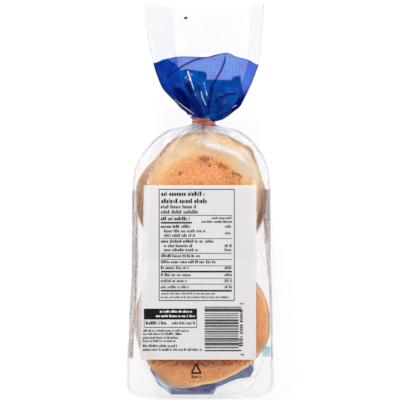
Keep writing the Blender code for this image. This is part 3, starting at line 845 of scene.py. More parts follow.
def crustMaterial(name, look):
    mat = Mat(name)
    x, y, z = [mat.node("SeparateXYZ", {0: mat.place}, axis) for axis in "XYZ"]
    wide, blotch, speck = mat.grain(0.055, 2), mat.grain(0.16, 5, 0.65), mat.grain(0.62, 3, 0.6)
    grit, fine = mat.grain(1.15, 2, 0.6), mat.grain(2.4, 2, 0.7)
    onFace = mat.fade(mat.maths("ABSOLUTE", z), 4.0, 7.5)
    # how browned, dimpled (with painted shade in places) and spotted, worked out on the mesh and roughened
    # here
    wander = mat.roughened(mat.roughened(mat.stored("beyondDisc"), blotch, 11.0), grit, 3.0)
    browned = mat.times(mat.fade(wander, 3.5, -3.0), onFace)
    dimpleAndShade = mat.stored("dimpleAndShade")
    ragged = mat.roughened(dimpleAndShade, speck, 2.4)
    dimpleAndShade = mat.times(mat.fade(ragged, 0.10, 1.10), mat.fade(dimpleAndShade, 0.0, 0.35))
    spot = mat.times(mat.stored("spot"), mat.fade(speck, 0.30, 0.62))
    # pale ring, straw in places, with a golden rim round the browning
    pale = mat.coats(crust["cream"], (mat.fade(wide, 0.42, 0.66), crust["straw"]),
                     (mat.times(mat.fade(wander, 9.0, 0.0), onFace, 0.65), crust["straw"]),
                     (mat.times(mat.fade(grit, 0.50, 0.68), 0.28), crust["straw"]),
                     (mat.times(spot, 0.7), crust["gold"]))
    # browned face: gold at its edge, then baked, with toasted patches and a dust of flour
    toasting = mat.scaled(mat.fade(blotch, 0.44, 0.66), 0.45, look["toast"], clamp=True)
    brown = mat.coats(crust["gold"], (mat.fade(wander, -0.5, -8.0), crust["baked"]),
                      (toasting, crust["toasted"]),
                      (mat.times(mat.fade(speck, 0.48, 0.60), 0.75), crust["toasted"]),
                      (mat.times(mat.fade(grit, 0.53, 0.64), 0.6), crust["flour"]))
    # rounded rim, browned where it met the griddle, and the pale porous waist
    rimLow = look.get("rimLow", 1.0)
    rimHigh = rimLow + 5.0 if "rimTone" in look else 9.5
    wavy = mat.roughened(z, blotch, 5.0)
    upper = mat.times(mat.fade(z, rimHigh + 1.0, rimHigh - 1.0),
                      mat.fade(wavy, rimLow - 1.0, rimLow + 3.0))
    under = mat.times(mat.fade(z, -10.5, -8.5), mat.fade(wavy, -3.5, -7.0))
    rim = mat.times(mat.most(upper, under), mat.scaled(mat.fade(blotch, 0.35, 0.6), 0.3, 0.7))
    waist = mat.times(mat.fade(wavy, rimLow + 2.5, rimLow - 0.5), mat.fade(wavy, -6.5, -3.5))
    porous = mat.mix(mat.times(mat.fade(speck, 0.42, 0.62), 0.5), crust["waist"], crust["straw"])
    colour = mat.coats(pale, (browned, brown), (rim, crust[look.get("rimTone", "dull")]), (waist, porous))
    for wayX, wayY, start, full in look.get("shadedEdgeArcs", ()):
        # a thin band of painted shade, dull brown, along one part of the edge
        along = mat.scaled(x, wayX, mat.times(y, wayY))
        colour = mat.mix(mat.times(mat.fade(along, start, full), mat.fade(z, 8.6, 5.0), 0.8), colour,
                         crust["dull"])
    # dark dimples, and painted shade: the label's shadow band and the gap beside the upper muffin
    colour = mat.mix(mat.times(dimpleAndShade, 0.9), colour, crust["dark"])
    relief = mat.scaled(dimpleAndShade, -1.2, mat.scaled(speck, 0.8, mat.scaled(fine, 0.35, grit)))
    return mat.finish(mat.solid(colour, 0.82, mat.bumped(relief, 0.55, 0.9), 0.2))


def marksAt(x, y, marks):
    # 0 to 1 inside each slanted oval mark
    total = np.zeros(x.shape)
    for midX, midY, halfX, halfY, slant, strength in marks:
        cos, sin = math.cos(math.radians(slant)), math.sin(math.radians(slant))
        u = ((x - midX) * cos + (y - midY) * sin) / halfX
        v = ((y - midY) * cos - (x - midX) * sin) / halfY
        total = np.maximum(total, strength * np.exp(-(u**2 + v**2) ** 1.5 * 0.6))
    return total


def muffinProfile(count):
    # radius and height, 0 to 1, evenly spaced from the middle of one face to the middle of the other
    power = muffinSet["squareness"]
    r = np.sin(np.linspace(0, math.pi / 2, 600)) ** 0.8
    z = np.sqrt(np.clip(1 - r**power, 0, 1))
    r = np.concatenate([r, r[-2::-1]])
    z = np.concatenate([z, -z[-2::-1]])
    length = np.concatenate([[0], np.cumsum(np.hypot(np.diff(r) * 45, np.diff(z) * 13.6))])
    at = np.linspace(0, length[-1], count)
    return np.interp(at, length, r), np.interp(at, length, z)


def makeMuffin(look):
    rings, around = muffinSet["frontMesh" if look.get("shown") else "hiddenMesh"]
    r, z = [part[1:-1, None] for part in muffinProfile(rings)]
    seed, thick = look["seed"], look["thick"]
    turn = np.arange(around) / around * 2 * math.pi
    cos, sin = np.cos(turn), np.sin(turn)
    outline = np.stack([cos * 1.6, sin * 1.6, 0 * turn], -1)
    wander = noiseAt(outline, (1, 1, 1), seed) * muffinSet["outlineWander"]
    for angle, rise, spread in look.get("dents", ()):
        gap = (np.degrees(turn) - angle + 180) % 360 - 180
        wander = wander + rise * np.exp(-(gap / spread) ** 2)
    x = r * look["half"][0] * cos + r**2 * wander * cos
    y = r * look["half"][1] * sin + r**2 * wander * sin
    points = np.stack(np.broadcast_arrays(x, y, z * thick), -1)
    x, y, z = np.moveaxis(points.copy(), -1, 0)
    onFace = smoothStep(np.abs(z), 5, 12)
    discX, discY, discWide, discTall = look["disc"]
    beyondDisc = (np.hypot((x - discX) / discWide, (y - discY) / discTall) - 1) * discWide
    dimpleAndShade, spot = [marksAt(x, y, look.get(marks, ())) * (z > 0) for marks in ("dimplesAndShade", "spots")]
    # lumps, crags and pores on the faces, coarser pores on the side
    lumps = noiseAt(points, (0.07, 0.07, 0.07), seed) * muffinSet["lumps"]
    pores = noiseAt(points, (0.55, 0.55, 0.55), seed + 2) * muffinSet["pores"]
    side = noiseAt(points, (0.12, 0.12, 0.5), seed + 3) * muffinSet["sideLumps"] * (1 - onFace)
    rise = lumps - dimpleAndShade * muffinSet["crags"] + pores - muffinSet["settled"]
    points[..., 2] += np.sign(z) * onFace * rise
    outward = 1 + (side + pores) * (1 - onFace) / np.maximum(np.hypot(x, y), 1)
    points[..., :2] *= outward[..., None]
    pole = thick - muffinSet["settled"]
    flat = np.concatenate([points.reshape(-1, 3), [[0, 0, pole], [0, 0, -pole]]])
    last, low = len(flat) - 2, (rings - 3) * around
    faces = [f[::-1] for f in gridFaces(rings - 2, around, True)]
    faces += [(last, j, (j + 1) % around) for j in range(around)]
    faces += [(last + 1, low + (j + 1) % around, low + j) for j in range(around)]
    piece = addPiece(look["name"], flat, faces, [crustMaterial(look["name"], look)])
    stored = (("beyondDisc", beyondDisc, -discWide), ("dimpleAndShade", dimpleAndShade, 0), ("spot", spot, 0))
    for name, values, atPole in stored:
        storeValue(piece, name, np.concatenate([values.ravel(), [atPole, atPole]]))
    piece.location = Vector(look["at"]) * mm
    piece.rotation_euler.x = math.radians(look.get("tilt", 0))
    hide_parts("bag")


for look in muffins:
    makeMuffin(look)
print("muffins made:", len(muffins))


# Semolina: loose grains pressed between the front muffins and the film
semolina = {
    "onLower": 1500, "onUpper": 300,
    "size": (0.2, 0.42), "seed": 12,
    "lowerReach": 45, "upperReach": 40,      # mm from the middle of each face
    "colours": ((0.78, 0.62, 0.40), (0.86, 0.76, 0.56)),
}


def grainMaterial():
    mat = Mat("semolina")
    colour = mat.mix(mat.grain(0.5, 2), *semolina["colours"])
    return mat.finish(mat.solid(colour, 0.7, mat.bumped(mat.grain(3, 2), 0.1)))


def addGrain(points, faces, at, size, draw):
    # eight-sided grain, a little uneven
    first = len(points)
    for axis in range(3):
        for way in (1, -1):
            tip = [0, 0, 0]
            tip[axis] = way * size * draw.uniform(0.7, 1.3)
            points.append([at[k] + tip[k] for k in range(3)])
    for a in (0, 1):
        for b in (2, 3):
            for c in (4, 5):
                face = (first + a, first + b, first + c)
                faces.append(face if (a + b + c) % 2 == 0 else face[::-1])


def surfaceTree(names):
    # one search tree over several pieces, in the frame's metres
    mesh = bmesh.new()
    for name in names:
        part = bpy.data.objects[name]
        copy = part.data.copy()
        bpy.context.view_layer.update()
        copy.transform(part.matrix_world)
        mesh.from_mesh(copy)
        bpy.data.meshes.remove(copy)
    tree = BVHTree.FromBMesh(mesh)
    mesh.free()
    return tree


def makeGrains():
    draw = random.Random(semolina["seed"])
    points, faces = [], []
    tree = surfaceTree([look["name"] for look in muffins])
    plans = ((semolina["onLower"], muffins[3], semolina["lowerReach"]),
             (semolina["onUpper"], muffins[0], semolina["upperReach"]))
    for count, look, reach in plans:
        for _ in range(count):
            turn, away = draw.uniform(0, 2 * math.pi), reach * math.sqrt(draw.random())
            x = look["at"][0] + away * math.cos(turn)
            y = look["at"][1] + away * math.sin(turn)
            hit = tree.ray_cast(Vector((x, y, 120)) * mm, Vector((0, 0, -1)))[0]
            size = draw.uniform(*semolina["size"])
            if hit is not None:
                addGrain(points, faces, (x, y, hit.z / mm + size * 0.3), size, draw)
    piece = addPiece("semolina_grains", points, faces, [grainMaterial()], smooth=False)
    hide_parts("bag")


makeGrains()
print("semolina made")


# Print on the front: white field with a ruled table, bars and a stripe block, placed in photo pixels
panel = {
    "corners": ((144.0, 185.2), (256.3, 185.2), (255.9, 359.2), (140.6, 359.2)),   # photo pixels
    "cell": 1.6,
    "whiteLift": 0.16, "inkLift": 0.10,
    "frame": (159.3, 189.4, 234.2, 300.2), "frameLine": 0.5,
    "seed": 5,
    # black box with an open one below it
    "boxTop": (144, 308.4), "boxBottom": (197, 319.1), "openLow": 327, "openLine": 0.45, "openSide": 0.4,
    "sideWords": ((241.2, 346), (241.2, 309), 3.0),
    "white": (0.745, 0.735, 0.745), "whiteCloud": (0.70, 0.69, 0.705), "brimHighlight": (0.845, 0.755, 0.70),
}
# rows of words: pixel height, left end, right end, tone (0 dark, 1 grey, 2 white), mm of a capital
wordRows = (
    (194.3, 161.5, 205.5, 0, 3.1), (201.5, 161.5, 206.6, 0, 3.1), (207.1, 161, 196.6, 1, 2.5),
    (212.3, 161, 198.8, 1, 2.5), (219, 161, 189.4, 0, 2.5), (218.2, 211.7, 231.9, 0, 1.6),
    (221.8, 201.4, 231.9, 0, 1.6), (226.7, 161, 179, 0, 2.1), (226.7, 181, 190, 1, 2.1),
    (226.7, 225, 231.7, 1, 2.0), (231.2, 164, 206, 1, 2.1), (235.6, 164, 195, 1, 2.1),
    (233.3, 225, 231.7, 1, 2.0), (241.4, 161, 203, 0, 2.1), (241.4, 205, 214, 1, 2.1),
    (245.9, 164, 193, 1, 2.1), (245.9, 224.5, 231.7, 1, 2.0), (250, 164, 197.6, 1, 2.1),
    (250, 224.5, 231.7, 1, 2.0), (256, 161, 194, 0, 2.0), (256, 196, 201, 1, 2.0),
    (262, 161, 204, 0, 2.0), (262, 206, 216, 1, 2.0), (267.9, 161, 174, 0, 2.0), (267.9, 176, 189, 1, 2.0),
    (267.9, 224.5, 231.7, 1, 2.0), (274.9, 161, 190.5, 1, 2.0), (274.9, 224.5, 231.7, 1, 2.0),
    (280.9, 161, 186.6, 1, 2.0), (280.9, 224.5, 231.7, 1, 2.0), (287, 161, 189, 1, 2.0),
    (287, 224.5, 231.7, 1, 2.0), (293.5, 161.5, 215, 1, 1.4), (297.1, 161, 229.6, 1, 1.4),
    (323, 146, 166.5, 0, 2.2), (323, 172, 195, 1, 1.9),
    (330.5, 143, 189, 0, 1.5), (333.7, 143, 182, 0, 1.5), (337.6, 143, 179.6, 0, 1.5),
    (340.8, 143, 177, 0, 1.5), (345.7, 143, 177, 0, 1.7), (349.4, 143, 202.6, 0, 1.7),
    (311.4, 160, 192, 2, 1.7), (315.9, 156, 195, 2, 1.7), (303.4, 239.8, 243.2, 1, 1.3),
    (354.2, 240.6, 243.8, 1, 1.6),
)
# rules: pixel height, left, right, thickness in mm
ruleRows = (
    (215.4, 161, 231.8, 0.3), (222.7, 161, 192, 1.0), (238.5, 161, 231.8, 0.3), (253.2, 161, 231.8, 0.3),
    (259.3, 161, 231.8, 0.3), (265.7, 161, 231.8, 0.3), (271.4, 161, 231.8, 1.05), (278, 161, 231.8, 0.3),
    (283.9, 161, 231.8, 0.3), (290.5, 161, 231.8, 1.05),
)
# lying stripes: top and bottom in pixels, tone, long or not
stripeBlock = {
    "left": 204.7, "right": 238.5, "longRight": 241.4, "weight": 1.4,
    "stripes": ((306.6, 307.2, 0, 1), (308.7, 310.9, 1, 1), (313.1, 313.7, 1, 0), (315, 315.5, 1, 0),
                (316.8, 317.3, 1, 0), (318.5, 319, 1, 0), (319.9, 320.9, 0, 0), (322.2, 323.4, 0, 0),
                (324.7, 325.3, 0, 0), (326, 326.6, 1, 0), (327.7, 328.1, 0, 0), (329, 329.6, 1, 0),
                (330.9, 331.8, 0, 0), (333, 333.5, 1, 0), (334.4, 334.9, 1, 0), (336, 336.4, 0, 0),
                (337.9, 339, 0, 0), (340, 340.6, 1, 0), (341.3, 341.7, 1, 0), (342.9, 344.2, 0, 0),
                (345.3, 345.7, 1, 0), (347, 347.7, 0, 0), (349.8, 350.6, 0, 1)),
}
triangle = {"top": (196.2, 363.6), "left": (191.4, 372.6), "right": (201.0, 372.6), "line": 1.25,
            "caption": (376.4, 191.6, 200.8, 2.3)}
tailMark = {"at": (185.7, 17.5), "half": (1.35, 0.85), "turn": 15}


def inkMaterial(name, colour):
    mat = Mat(name)
    worn = tuple(min(1, c * 1.3 + 0.003) for c in colour)
    tone = mat.mix(mat.grain(1.3, 2), colour, worn)
    return mat.finish(mat.solid(tone, 0.4, mat.bumped(mat.grain(0.35, 3), 0.12), 0.2))


def whiteMaterial():
    mat = Mat("white_print")
    y = mat.node("SeparateXYZ", {0: mat.place}, "Y")
    top, bottom = [atPixel(*panel["corners"][k])[1] for k in (0, 2)]
    # painted highlight: a lighter warm band along the panel's top and bottom edges
    brimHighlight = mat.most(mat.fade(y, top - 2.4, top - 0.6), mat.fade(y, bottom + 1.2, bottom))
    colour = mat.coats(panel["white"], (mat.grain(0.03, 3), panel["whiteCloud"]), (brimHighlight, panel["brimHighlight"]))
    ink = mat.solid(colour, 0.32, mat.bumped(mat.grain(0.25, 4, 0.6, 0.6), 0.22))
    return mat.finish(mat.blend(0.94, mat.clear((0.97, 0.96, 0.96)), ink))


filmTree = surfaceTree(["film_bag"])
printTree = filmTree                     # the white field joins it once it is laid


def fromTop(x, y, lift):
    hit = printTree.ray_cast(Vector((x, y, 130)) * mm, Vector((0, 0, -1)))[0]
    return (x, y, (bag["depth"] if hit is None else hit.z / mm) + lift)


def fromBelow(x, y, lift):
    hit = filmTree.ray_cast(Vector((x, y, -20)) * mm, Vector((0, 0, 1)))[0]
    return (x, y, (0 if hit is None else hit.z / mm) - lift)


def roundBag(share, y, lift):
    # the point of the film at a share round the bag and a place along it
    body, normal, places, shares = filmGrid
    row = np.clip(np.interp(y, places, np.arange(len(places))), 0, len(places) - 1.001)
    column = np.clip(np.interp(share, shares, np.arange(len(shares))), 0, len(shares) - 1.001)
    i, j = int(row), int(column)
    a, b = row - i, column - j
    here = []
    for grid in (body, normal):
        upper = (1 - b) * grid[i, j] + b * grid[i, j + 1]
        lower = (1 - b) * grid[i + 1, j] + b * grid[i + 1, j + 1]
        here.append((1 - a) * upper + a * lower)
    return tuple(here[0] + here[1] * lift)


class Ink:
    # flat shapes cut small enough to follow the film; place says how u, v land on it
    def __init__(self, place, lift, step=1.6, flip=False):
        self.points, self.faces, self.tones = [], [], []
        self.place, self.lift, self.step, self.flip = place, lift, step, flip

    def quad(self, corners, tone, step=None):
        (a, b, c, d) = [np.array(p, float) for p in corners]
        step = step or self.step
        across = max(1, math.ceil(max(np.linalg.norm(b - a), np.linalg.norm(c - d)) / step))
        down = max(1, math.ceil(max(np.linalg.norm(d - a), np.linalg.norm(c - b)) / step))
        first = len(self.points)
        for i in range(down + 1):
            left, right = a + (d - a) * i / down, b + (c - b) * i / down
            for j in range(across + 1):
                u, v = left + (right - left) * j / across
                self.points.append(self.place(u, v, self.lift))
        for face in gridFaces(down + 1, across + 1, False, first):
            self.faces.append(face if self.flip else face[::-1])
            self.tones.append(tone)

    def line(self, start, end, thick, tone):
        start, end = np.array(start, float), np.array(end, float)
        side = np.array([start[1] - end[1], end[0] - start[0]]) / np.linalg.norm(end - start) * thick / 2
        self.quad((start + side, end + side, end - side, start - side), tone)

    def words(self, start, end, tall, tone, draw, upward=None):
        # rows of small plain blocks of uneven height, where words would be
        start, end = np.array(start, float), np.array(end, float)
        length = np.linalg.norm(end - start)
        ahead = (end - start) / length
        up = np.array(upward) if upward is not None else np.array([-ahead[1], ahead[0]])
        low, body = -0.36 * tall, 0.68 * tall
        at, left = 0.0, draw.randint(2, 8)
        while at < length - 0.15 * tall:
            wide = tall * draw.choice((0.16, 0.34, 0.40, 0.44))
            top = low + draw.choice((body, body, tall))
            a, b = start + ahead * at, start + ahead * min(length, at + wide)
            self.quad((a + up * top, b + up * top, b + up * low, a + up * low), tone)
            at += wide + 0.16 * tall
            left -= 1
            if left == 0:
                at += 0.38 * tall
                left = draw.randint(2, 8)

    def finish(self, name, materials, slotName):
        piece = addPiece(name, self.points, self.faces, materials, False, self.tones)
        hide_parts("bag")
        return piece


def makePanel():
    corners = [atPixel(*corner) for corner in panel["corners"]]
    white = Ink(fromTop, panel["whiteLift"])
    white.quad(corners, 0, panel["cell"])
    white.finish("white_panel", [whiteMaterial()], "print_white").data.shade_smooth()
    global printTree
    printTree = surfaceTree(["film_bag", "white_panel"])
    draw = random.Random(panel["seed"])
    ink = Ink(fromTop, panel["inkLift"])
    x0, y0 = atPixel(*panel["frame"][:2])
    x1, y1 = atPixel(*panel["frame"][2:])
    for y in (y0, y1):
        ink.line((x0, y), (x1, y), panel["frameLine"], 0)
    for x in (x0, x1):
        ink.line((x, y0), (x, y1), panel["frameLine"], 0)
    for py, left, right, thick in ruleRows:
        ink.line(atPixel(left, py), atPixel(right, py), thick + 0.08, 0)
    left, top = atPixel(*panel["boxTop"])
    right, bottom = atPixel(*panel["boxBottom"])
    low, middle = atPixel(0, panel["openLow"])[1], (top + bottom) / 2
    ink.line((left, middle), (right, middle), top - bottom, 0)
    ink.line((left, low), (right, low), panel["openLine"], 0)
    for x in (left + panel["openSide"] / 2, right - panel["openSide"] / 2):
        ink.line((x, bottom), (x, low), panel["openSide"], 0)
    for stripeTop, stripeBottom, tone, isLong in stripeBlock["stripes"]:
        py, right = (stripeTop + stripeBottom) / 2, stripeBlock["longRight" if isLong else "right"]
        thick = (stripeBottom - stripeTop) * shot["mmPerPixel"] * stripeBlock["weight"]
        ink.line(atPixel(stripeBlock["left"], py), atPixel(right, py), thick, tone)
    start, end, tall = panel["sideWords"]
    ink.words(atPixel(*start), atPixel(*end), tall, 1, draw)
    makeTriangle(ink, draw)
    ink.lift += 0.05
    for py, left, right, tone, tall in wordRows:
        ink.words(atPixel(left, py), atPixel(right, py), tall, tone, draw)
    ink.finish("panel_ink", [inkMaterial("ink_dark", (0.006, 0.005, 0.007)),
                             inkMaterial("ink_grey", (0.055, 0.05, 0.058)),
                             inkMaterial("ink_white", (0.72, 0.71, 0.72))], "print_dark")


def makeTriangle(ink, draw):
    # plain triangle outline below the panel
    corners = [atPixel(*triangle[key]) for key in ("top", "left", "right")]
    for a, b in zip(corners, corners[1:] + corners[:1]):
        ink.line(a, b, triangle["line"], 0)
    py, left, right, tall = triangle["caption"]
    ink.words(atPixel(left, py), atPixel(right, py), tall, 0, draw)
    # small oval on the tail, in slices
    middle, slices = np.array(atPixel(*tailMark["at"])), 8
    cos, sin = math.cos(math.radians(tailMark["turn"])), math.sin(math.radians(tailMark["turn"]))
    for k in range(slices):
        u0, u1 = [math.cos(math.pi * (k + d) / slices) * tailMark["half"][0] for d in (0, 1)]
        v0, v1 = [math.sin(math.pi * (k + d) / slices) * tailMark["half"][1] for d in (0, 1)]
        ring = [(u0, -v0), (u1, -v1), (u1, v1), (u0, v0)]
        ink.quad([middle + (u * cos - v * sin, u * sin + v * cos) for u, v in ring], 0)


makePanel()
print("front print made")


# Print on the side pleats: lines of small words running along the bag, a teal patch and a register mark
sidePrint = {
    "seed": 9, "lift": 0.12,
    "left": {"shares": (-0.146, -0.24), "lines": 17, "pixels": (192, 357), "tall": 1.7,
             "tint": (-0.139, -0.141, -0.243, 190, 358)},
    "right": {"shares": (0.136, 0.24), "lines": 18, "pixels": (190, 243), "tall": 1.7,
              "tint": (0.136, 0.161, 0.243, 189, 357)},
    "girth": 349.0,                      # mm round the bag
    "teal": ((0.129, 0.154), (346, 356)),
    "register": ((0.231, 0.252), (356.7, 357.9)),
}


def makeSidePrint():
    draw = random.Random(sidePrint["seed"])
    ink = Ink(roundBag, sidePrint["lift"])
    tint = Ink(roundBag, sidePrint["lift"] * 0.6)
    for side in (sidePrint["left"], sidePrint["right"]):
        # its front edge runs from one share to another down the bag
        first, lower, last, above, below = side["tint"]
        ys = np.linspace(atPixel(0, above)[1], atPixel(0, below)[1], 60)
        edges = [np.linspace(start, last, 12) for start in np.linspace(first, lower, len(ys))]
        for (y0, upper), (y1, under) in zip(zip(ys, edges), zip(ys[1:], edges[1:])):
            for k in range(11):
                corners = ((upper[k], y0), (upper[k + 1], y0), (under[k + 1], y1), (under[k], y1))
                tint.quad(corners if first > 0 else corners[::-1], 0, 50)
        top, bottom = [atPixel(0, py)[1] for py in side["pixels"]]
        for share in np.linspace(*side["shares"], side["lines"]):
            if draw.random() < 0.12:
                continue
            end = bottom if draw.random() < 0.7 else bottom + draw.uniform(4, 20)
            up = (math.copysign(1, -share) / sidePrint["girth"], 0)
            ink.words((share, top), (share, end), side["tall"], 0, draw, upward=up)
    ink.finish("side_ink", [inkMaterial("ink_brown", (0.045, 0.035, 0.035))], "print_dark")
    tint.finish("side_tint", [shieldMaterial("gusset_tint", (0.75, 0.64, 0.61), (0.50, 0.41, 0.39), 0.34)],
                "print_white").data.shade_smooth()
    teal = shieldMaterial("teal_ink", (0.50, 0.78, 0.84), (0.22, 0.52, 0.60), 0.4)
    for name, place, material, slot in (
            ("register_mark", sidePrint["register"], bpy.data.materials["ink_dark"], "print_dark"),
            ("teal_patch", sidePrint["teal"], teal, "print_blue")):
        (first, last), (above, below) = place
        patch = Ink(roundBag, sidePrint["lift"])
        for a, b in zip(np.linspace(first, last, 9), np.linspace(first, last, 9)[1:]):
            top, bottom = atPixel(0, above)[1], atPixel(0, below)[1]
            patch.quad(((a, top), (b, top), (b, bottom), (a, bottom)), 0, 1.0)
        patch.finish(name, [material], slot)


# Print on the underside: a big blue shield with a cream oval, its lower edge shows past the muffins
endPrint = {
    "lift": 0.12, "step": 1.5,
    "shield": ((170, 158), (236, 158), (250, 176), (254, 240), (254, 372), (250, 379), (240, 379.5),
               (228, 384), (217, 389), (213, 395.5), (171, 395.5), (158, 386), (150, 372), (148, 240),
               (155, 176)),
    "oval": (201, 235, 25.7, 33.5),   # middle in pixels, half sizes in mm
    # pale: colour of the painted sheen streaks on the underside blue
    "pale": (0.52, 0.66, 0.94), "seed": 4,
    # rows of words on the oval: place above its middle, half length, height of a capital
    "words": ((14, 16, 5.0), (5, 20, 5.0), (-6, 17, 3.0), (-12, 13, 3.0)),
}


def shieldMaterial(name, through, surface, cover):
    mat = Mat(name)
    lighter = tuple(min(1, c * 1.35 + 0.03) for c in through)
    # pale: painted sheen streaks, set on the underside blue only
    pale = mat.stored("pale")
    tint = mat.coats(through, (mat.fade(mat.grain(0.08, 3), 0.4, 0.7), lighter), (pale, endPrint["pale"]))
    cover = mat.times(mat.scaled(pale, -0.85, 1.0), cover)
    normal = mat.bumped(mat.grain(0.35, 4, 0.6, 0.8), 0.2)
    return mat.finish(seeThrough(mat, tint, cover, surface, 0.08, normal))


def widthAt(outline, y):
    # left and right limits of a convex outline at y
    spots = []
    for (x0, y0), (x1, y1) in zip(outline, outline[1:] + outline[:1]):
        if (y0 > y) != (y1 > y):
            spots.append(x0 + (x1 - x0) * (y - y0) / (y1 - y0))
    return (min(spots), max(spots)) if spots else None


def fillOutline(ink, outline, tone):
    low, high = min(p[1] for p in outline) + 0.02, max(p[1] for p in outline) - 0.02
    rows = np.linspace(low, high, max(3, int((high - low) / endPrint["step"])))
    for y0, y1 in zip(rows, rows[1:]):
        (a, b), (c, d) = widthAt(outline, y0), widthAt(outline, y1)
        ink.quad(((c, y1), (d, y1), (b, y0), (a, y0)), tone)


def makeEndPrint():
    outline = [atPixel(*corner) for corner in endPrint["shield"]]
    blue = Ink(fromBelow, endPrint["lift"], endPrint["step"], flip=True)
    fillOutline(blue, outline, 0)
    shield = blue.finish("underside_blue",
                         [shieldMaterial("shield_blue", (0.028, 0.045, 0.19), (0.012, 0.035, 0.19), 0.4)],
                         "print_blue")
    shield.data.shade_smooth()
    # past the muffins the film is rucked; painted sheen streaks pale the blue there, left and right
    spots = np.array(blue.points)
    x, y = spots[:, 0], spots[:, 1]
    streaky = 0.55 + 0.75 * noiseAt(np.stack([x + 0.5 * y, x * 0.2, 0 * x], -1), (0.42, 0.1, 1), 7)
    sheenStreaks = smoothStep(x, -20, -24) * streaky + smoothStep(x, 9.5, 11.5) * (0.08 + 0.28 * streaky)
    storeValue(shield, "pale", np.clip(sheenStreaks * smoothStep(y, -106, -113), 0, 1))
    px, py, halfX, halfY = endPrint["oval"]
    x, y = atPixel(px, py)
    turns = np.linspace(0, 2 * math.pi, 48, endpoint=False)
    oval = [(x + halfX * math.cos(t), y + halfY * math.sin(t)) for t in turns]
    cream = Ink(fromBelow, endPrint["lift"] + 0.08, endPrint["step"], flip=True)
    fillOutline(cream, oval, 0)
    draw = random.Random(endPrint["seed"])
    cream.lift += 0.08
    for row, half, tall in endPrint["words"]:
        cream.words((x + half, y + row), (x - half, y + row), tall, 1, draw, upward=(0, 1))
    paint = shieldMaterial("shield_cream", (0.5, 0.45, 0.35), (0.80, 0.70, 0.50), 0.92)
    cream.finish("underside_cream", [paint, inkMaterial("ink_navy", (0.01, 0.03, 0.14))], "print_white")


makeSidePrint()
makeEndPrint()
print("side and underside print made")


# The ribbon tie: three slanted wraps, then a twist down behind the neck and two short ends
tie = {
    "width": 1.9, "thick": 0.3, "wire": 0.35, "around": 150,
    # per wrap: slant in degrees, shift right and up, room round the neck, share of the width
    "wraps": ((-12.4, -0.4, 1.1, 0.9, 0.9), (-9.5, 0.6, -1.6, 0.5, 0.8), (-17.0, 0.0, -0.2, 0.3, 0.7)),
    "twistLength": 15, "turns": 2.5, "endLength": 8, "splay": 24,
    "twistSteps": 48, "endSteps": 16,
    "colours": ((0.74, 0.12, 0.08), (0.97, 0.46, 0.33)), "through": (0.99, 0.62, 0.54),
}


def tieMaterial():
    mat = Mat("red_ribbon")
    streak = mat.grain(0.9, 3, 0.6, 0.5)
    colour = mat.mix(mat.fade(streak, 0.35, 0.65), *tie["colours"])
    ribbon = mat.solid(colour, 0.28, mat.bumped(streak, 0.3))
    share = mat.scaled(mat.fade(streak, 0.6, 0.4), 0.35, 0.28)
    return mat.finish(mat.blend(share, mat.clear(tie["through"]), ribbon))


def ribbonSection():
    # closed outline across the ribbon: flat wings with the wire's bump between
    half, thick, wire = tie["width"] / 2, tie["thick"] / 2, tie["wire"]
    steps = np.linspace(-1, 1, 9)
    rise = thick + wire * np.exp(-(steps / 0.22) ** 2)
    upper = [(s * half, r) for s, r in zip(steps, rise)]
    lower = [(s * half, -r) for s, r in zip(steps[::-1], rise[::-1])]
    return upper + lower


def sweepRibbon(spine, sides, outs, closed, points, faces, widths=None):
    section = ribbonSection()
    first = len(points)
    widths = np.ones(len(spine)) if widths is None else widths
    for middle, side, out, wide in zip(spine, sides, outs, widths):
        for along, up in section:
            points.append(middle + side * along * wide + out * up)
    count = len(section)
    total = len(spine)
    for i in range(total if closed else total - 1):
        a, b = first + i * count, first + ((i + 1) % total) * count
        for j in range(count):
            k = (j + 1) % count
            faces.append((a + j, b + j, b + k, a + k))
    if not closed:
        faces.append(tuple(range(first, first + count))[::-1])
        faces.append(tuple(range(first + (total - 1) * count, first + total * count)))


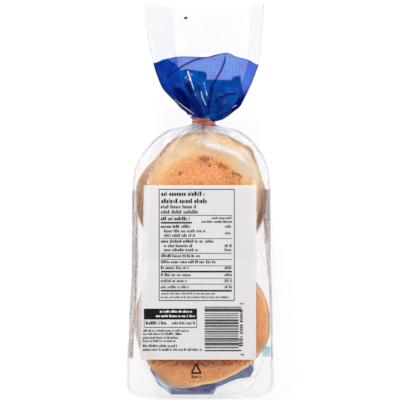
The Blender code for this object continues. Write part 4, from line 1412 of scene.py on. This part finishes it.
def makeTie():
    points, faces = [], []
    middle = np.array([bag["neckX"], bag["neckY"], bag["depth"] / 2])
    for slant, right, up, room, share in tie["wraps"]:
        turn = np.arange(tie["around"]) / tie["around"] * 2 * math.pi
        crimp = 0.16 * np.sin(turn * 11 + slant) + 0.12 * np.sin(turn * 17)
        width = bag["neckWidth"] + room + crimp
        depth = bag["neckDepth"] + room + crimp
        x, z = width * np.sin(turn), depth * np.cos(turn)
        y = math.tan(math.radians(slant)) * x + 0.25 * np.sin(turn * 3 + slant)
        spine = np.stack([x + right, y + up, z], -1) + middle
        outs = np.stack([x / width**2, 0 * x, z / depth**2], -1)
        outs /= np.linalg.norm(outs, axis=-1, keepdims=True)
        tilt = 0.45 * np.sin(turn * 7 + slant)
        sides = np.stack([0 * x, np.cos(tilt), 0 * x], -1) + outs * np.sin(tilt)[:, None] * 0.6
        narrow = share * (1 - 0.55 * np.abs(np.sin(turn)) ** 5)
        sweepRibbon(spine, sides, outs, True, points, faces, narrow)
    start = middle + np.array([0, 0, -bag["neckDepth"] - 0.6])
    down = np.array([0.0, 0.0, -1.0])
    for phase in (0, math.pi):
        steps = np.linspace(0, 1, tie["twistSteps"])
        angle = 2 * math.pi * tie["turns"] * steps + phase
        off = np.stack([np.cos(angle), np.sin(angle), 0 * angle], -1)
        spine = start + down * tie["twistLength"] * steps[:, None] + off * 0.45
        sides = np.stack([-np.sin(angle), np.cos(angle), 0 * angle], -1) * 0.8
        sweepRibbon(spine, sides, off, False, points, faces)
    tip = start + down * (tie["twistLength"] - 1)
    for way in (-1, 1):
        lean = math.radians(tie["splay"] * way)
        heading = np.array([math.sin(lean), 0, -math.cos(lean)])
        steps = np.linspace(0, 1, tie["endSteps"])
        curl = np.stack([0 * steps, 0.8 * steps**2 * way, 0 * steps], -1)
        spine = tip + heading * tie["endLength"] * steps[:, None] + curl
        sides = np.tile([0.0, 0.92, 0.0], (tie["endSteps"], 1))
        outs = np.tile(np.cross(heading, [0, 1, 0]), (tie["endSteps"], 1))
        sweepRibbon(spine, sides, outs, False, points, faces)
    piece = addPiece("ribbon_tie", points, faces, [tieMaterial()])
    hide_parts("twist_tie")


makeTie()
print("ribbon tie made")
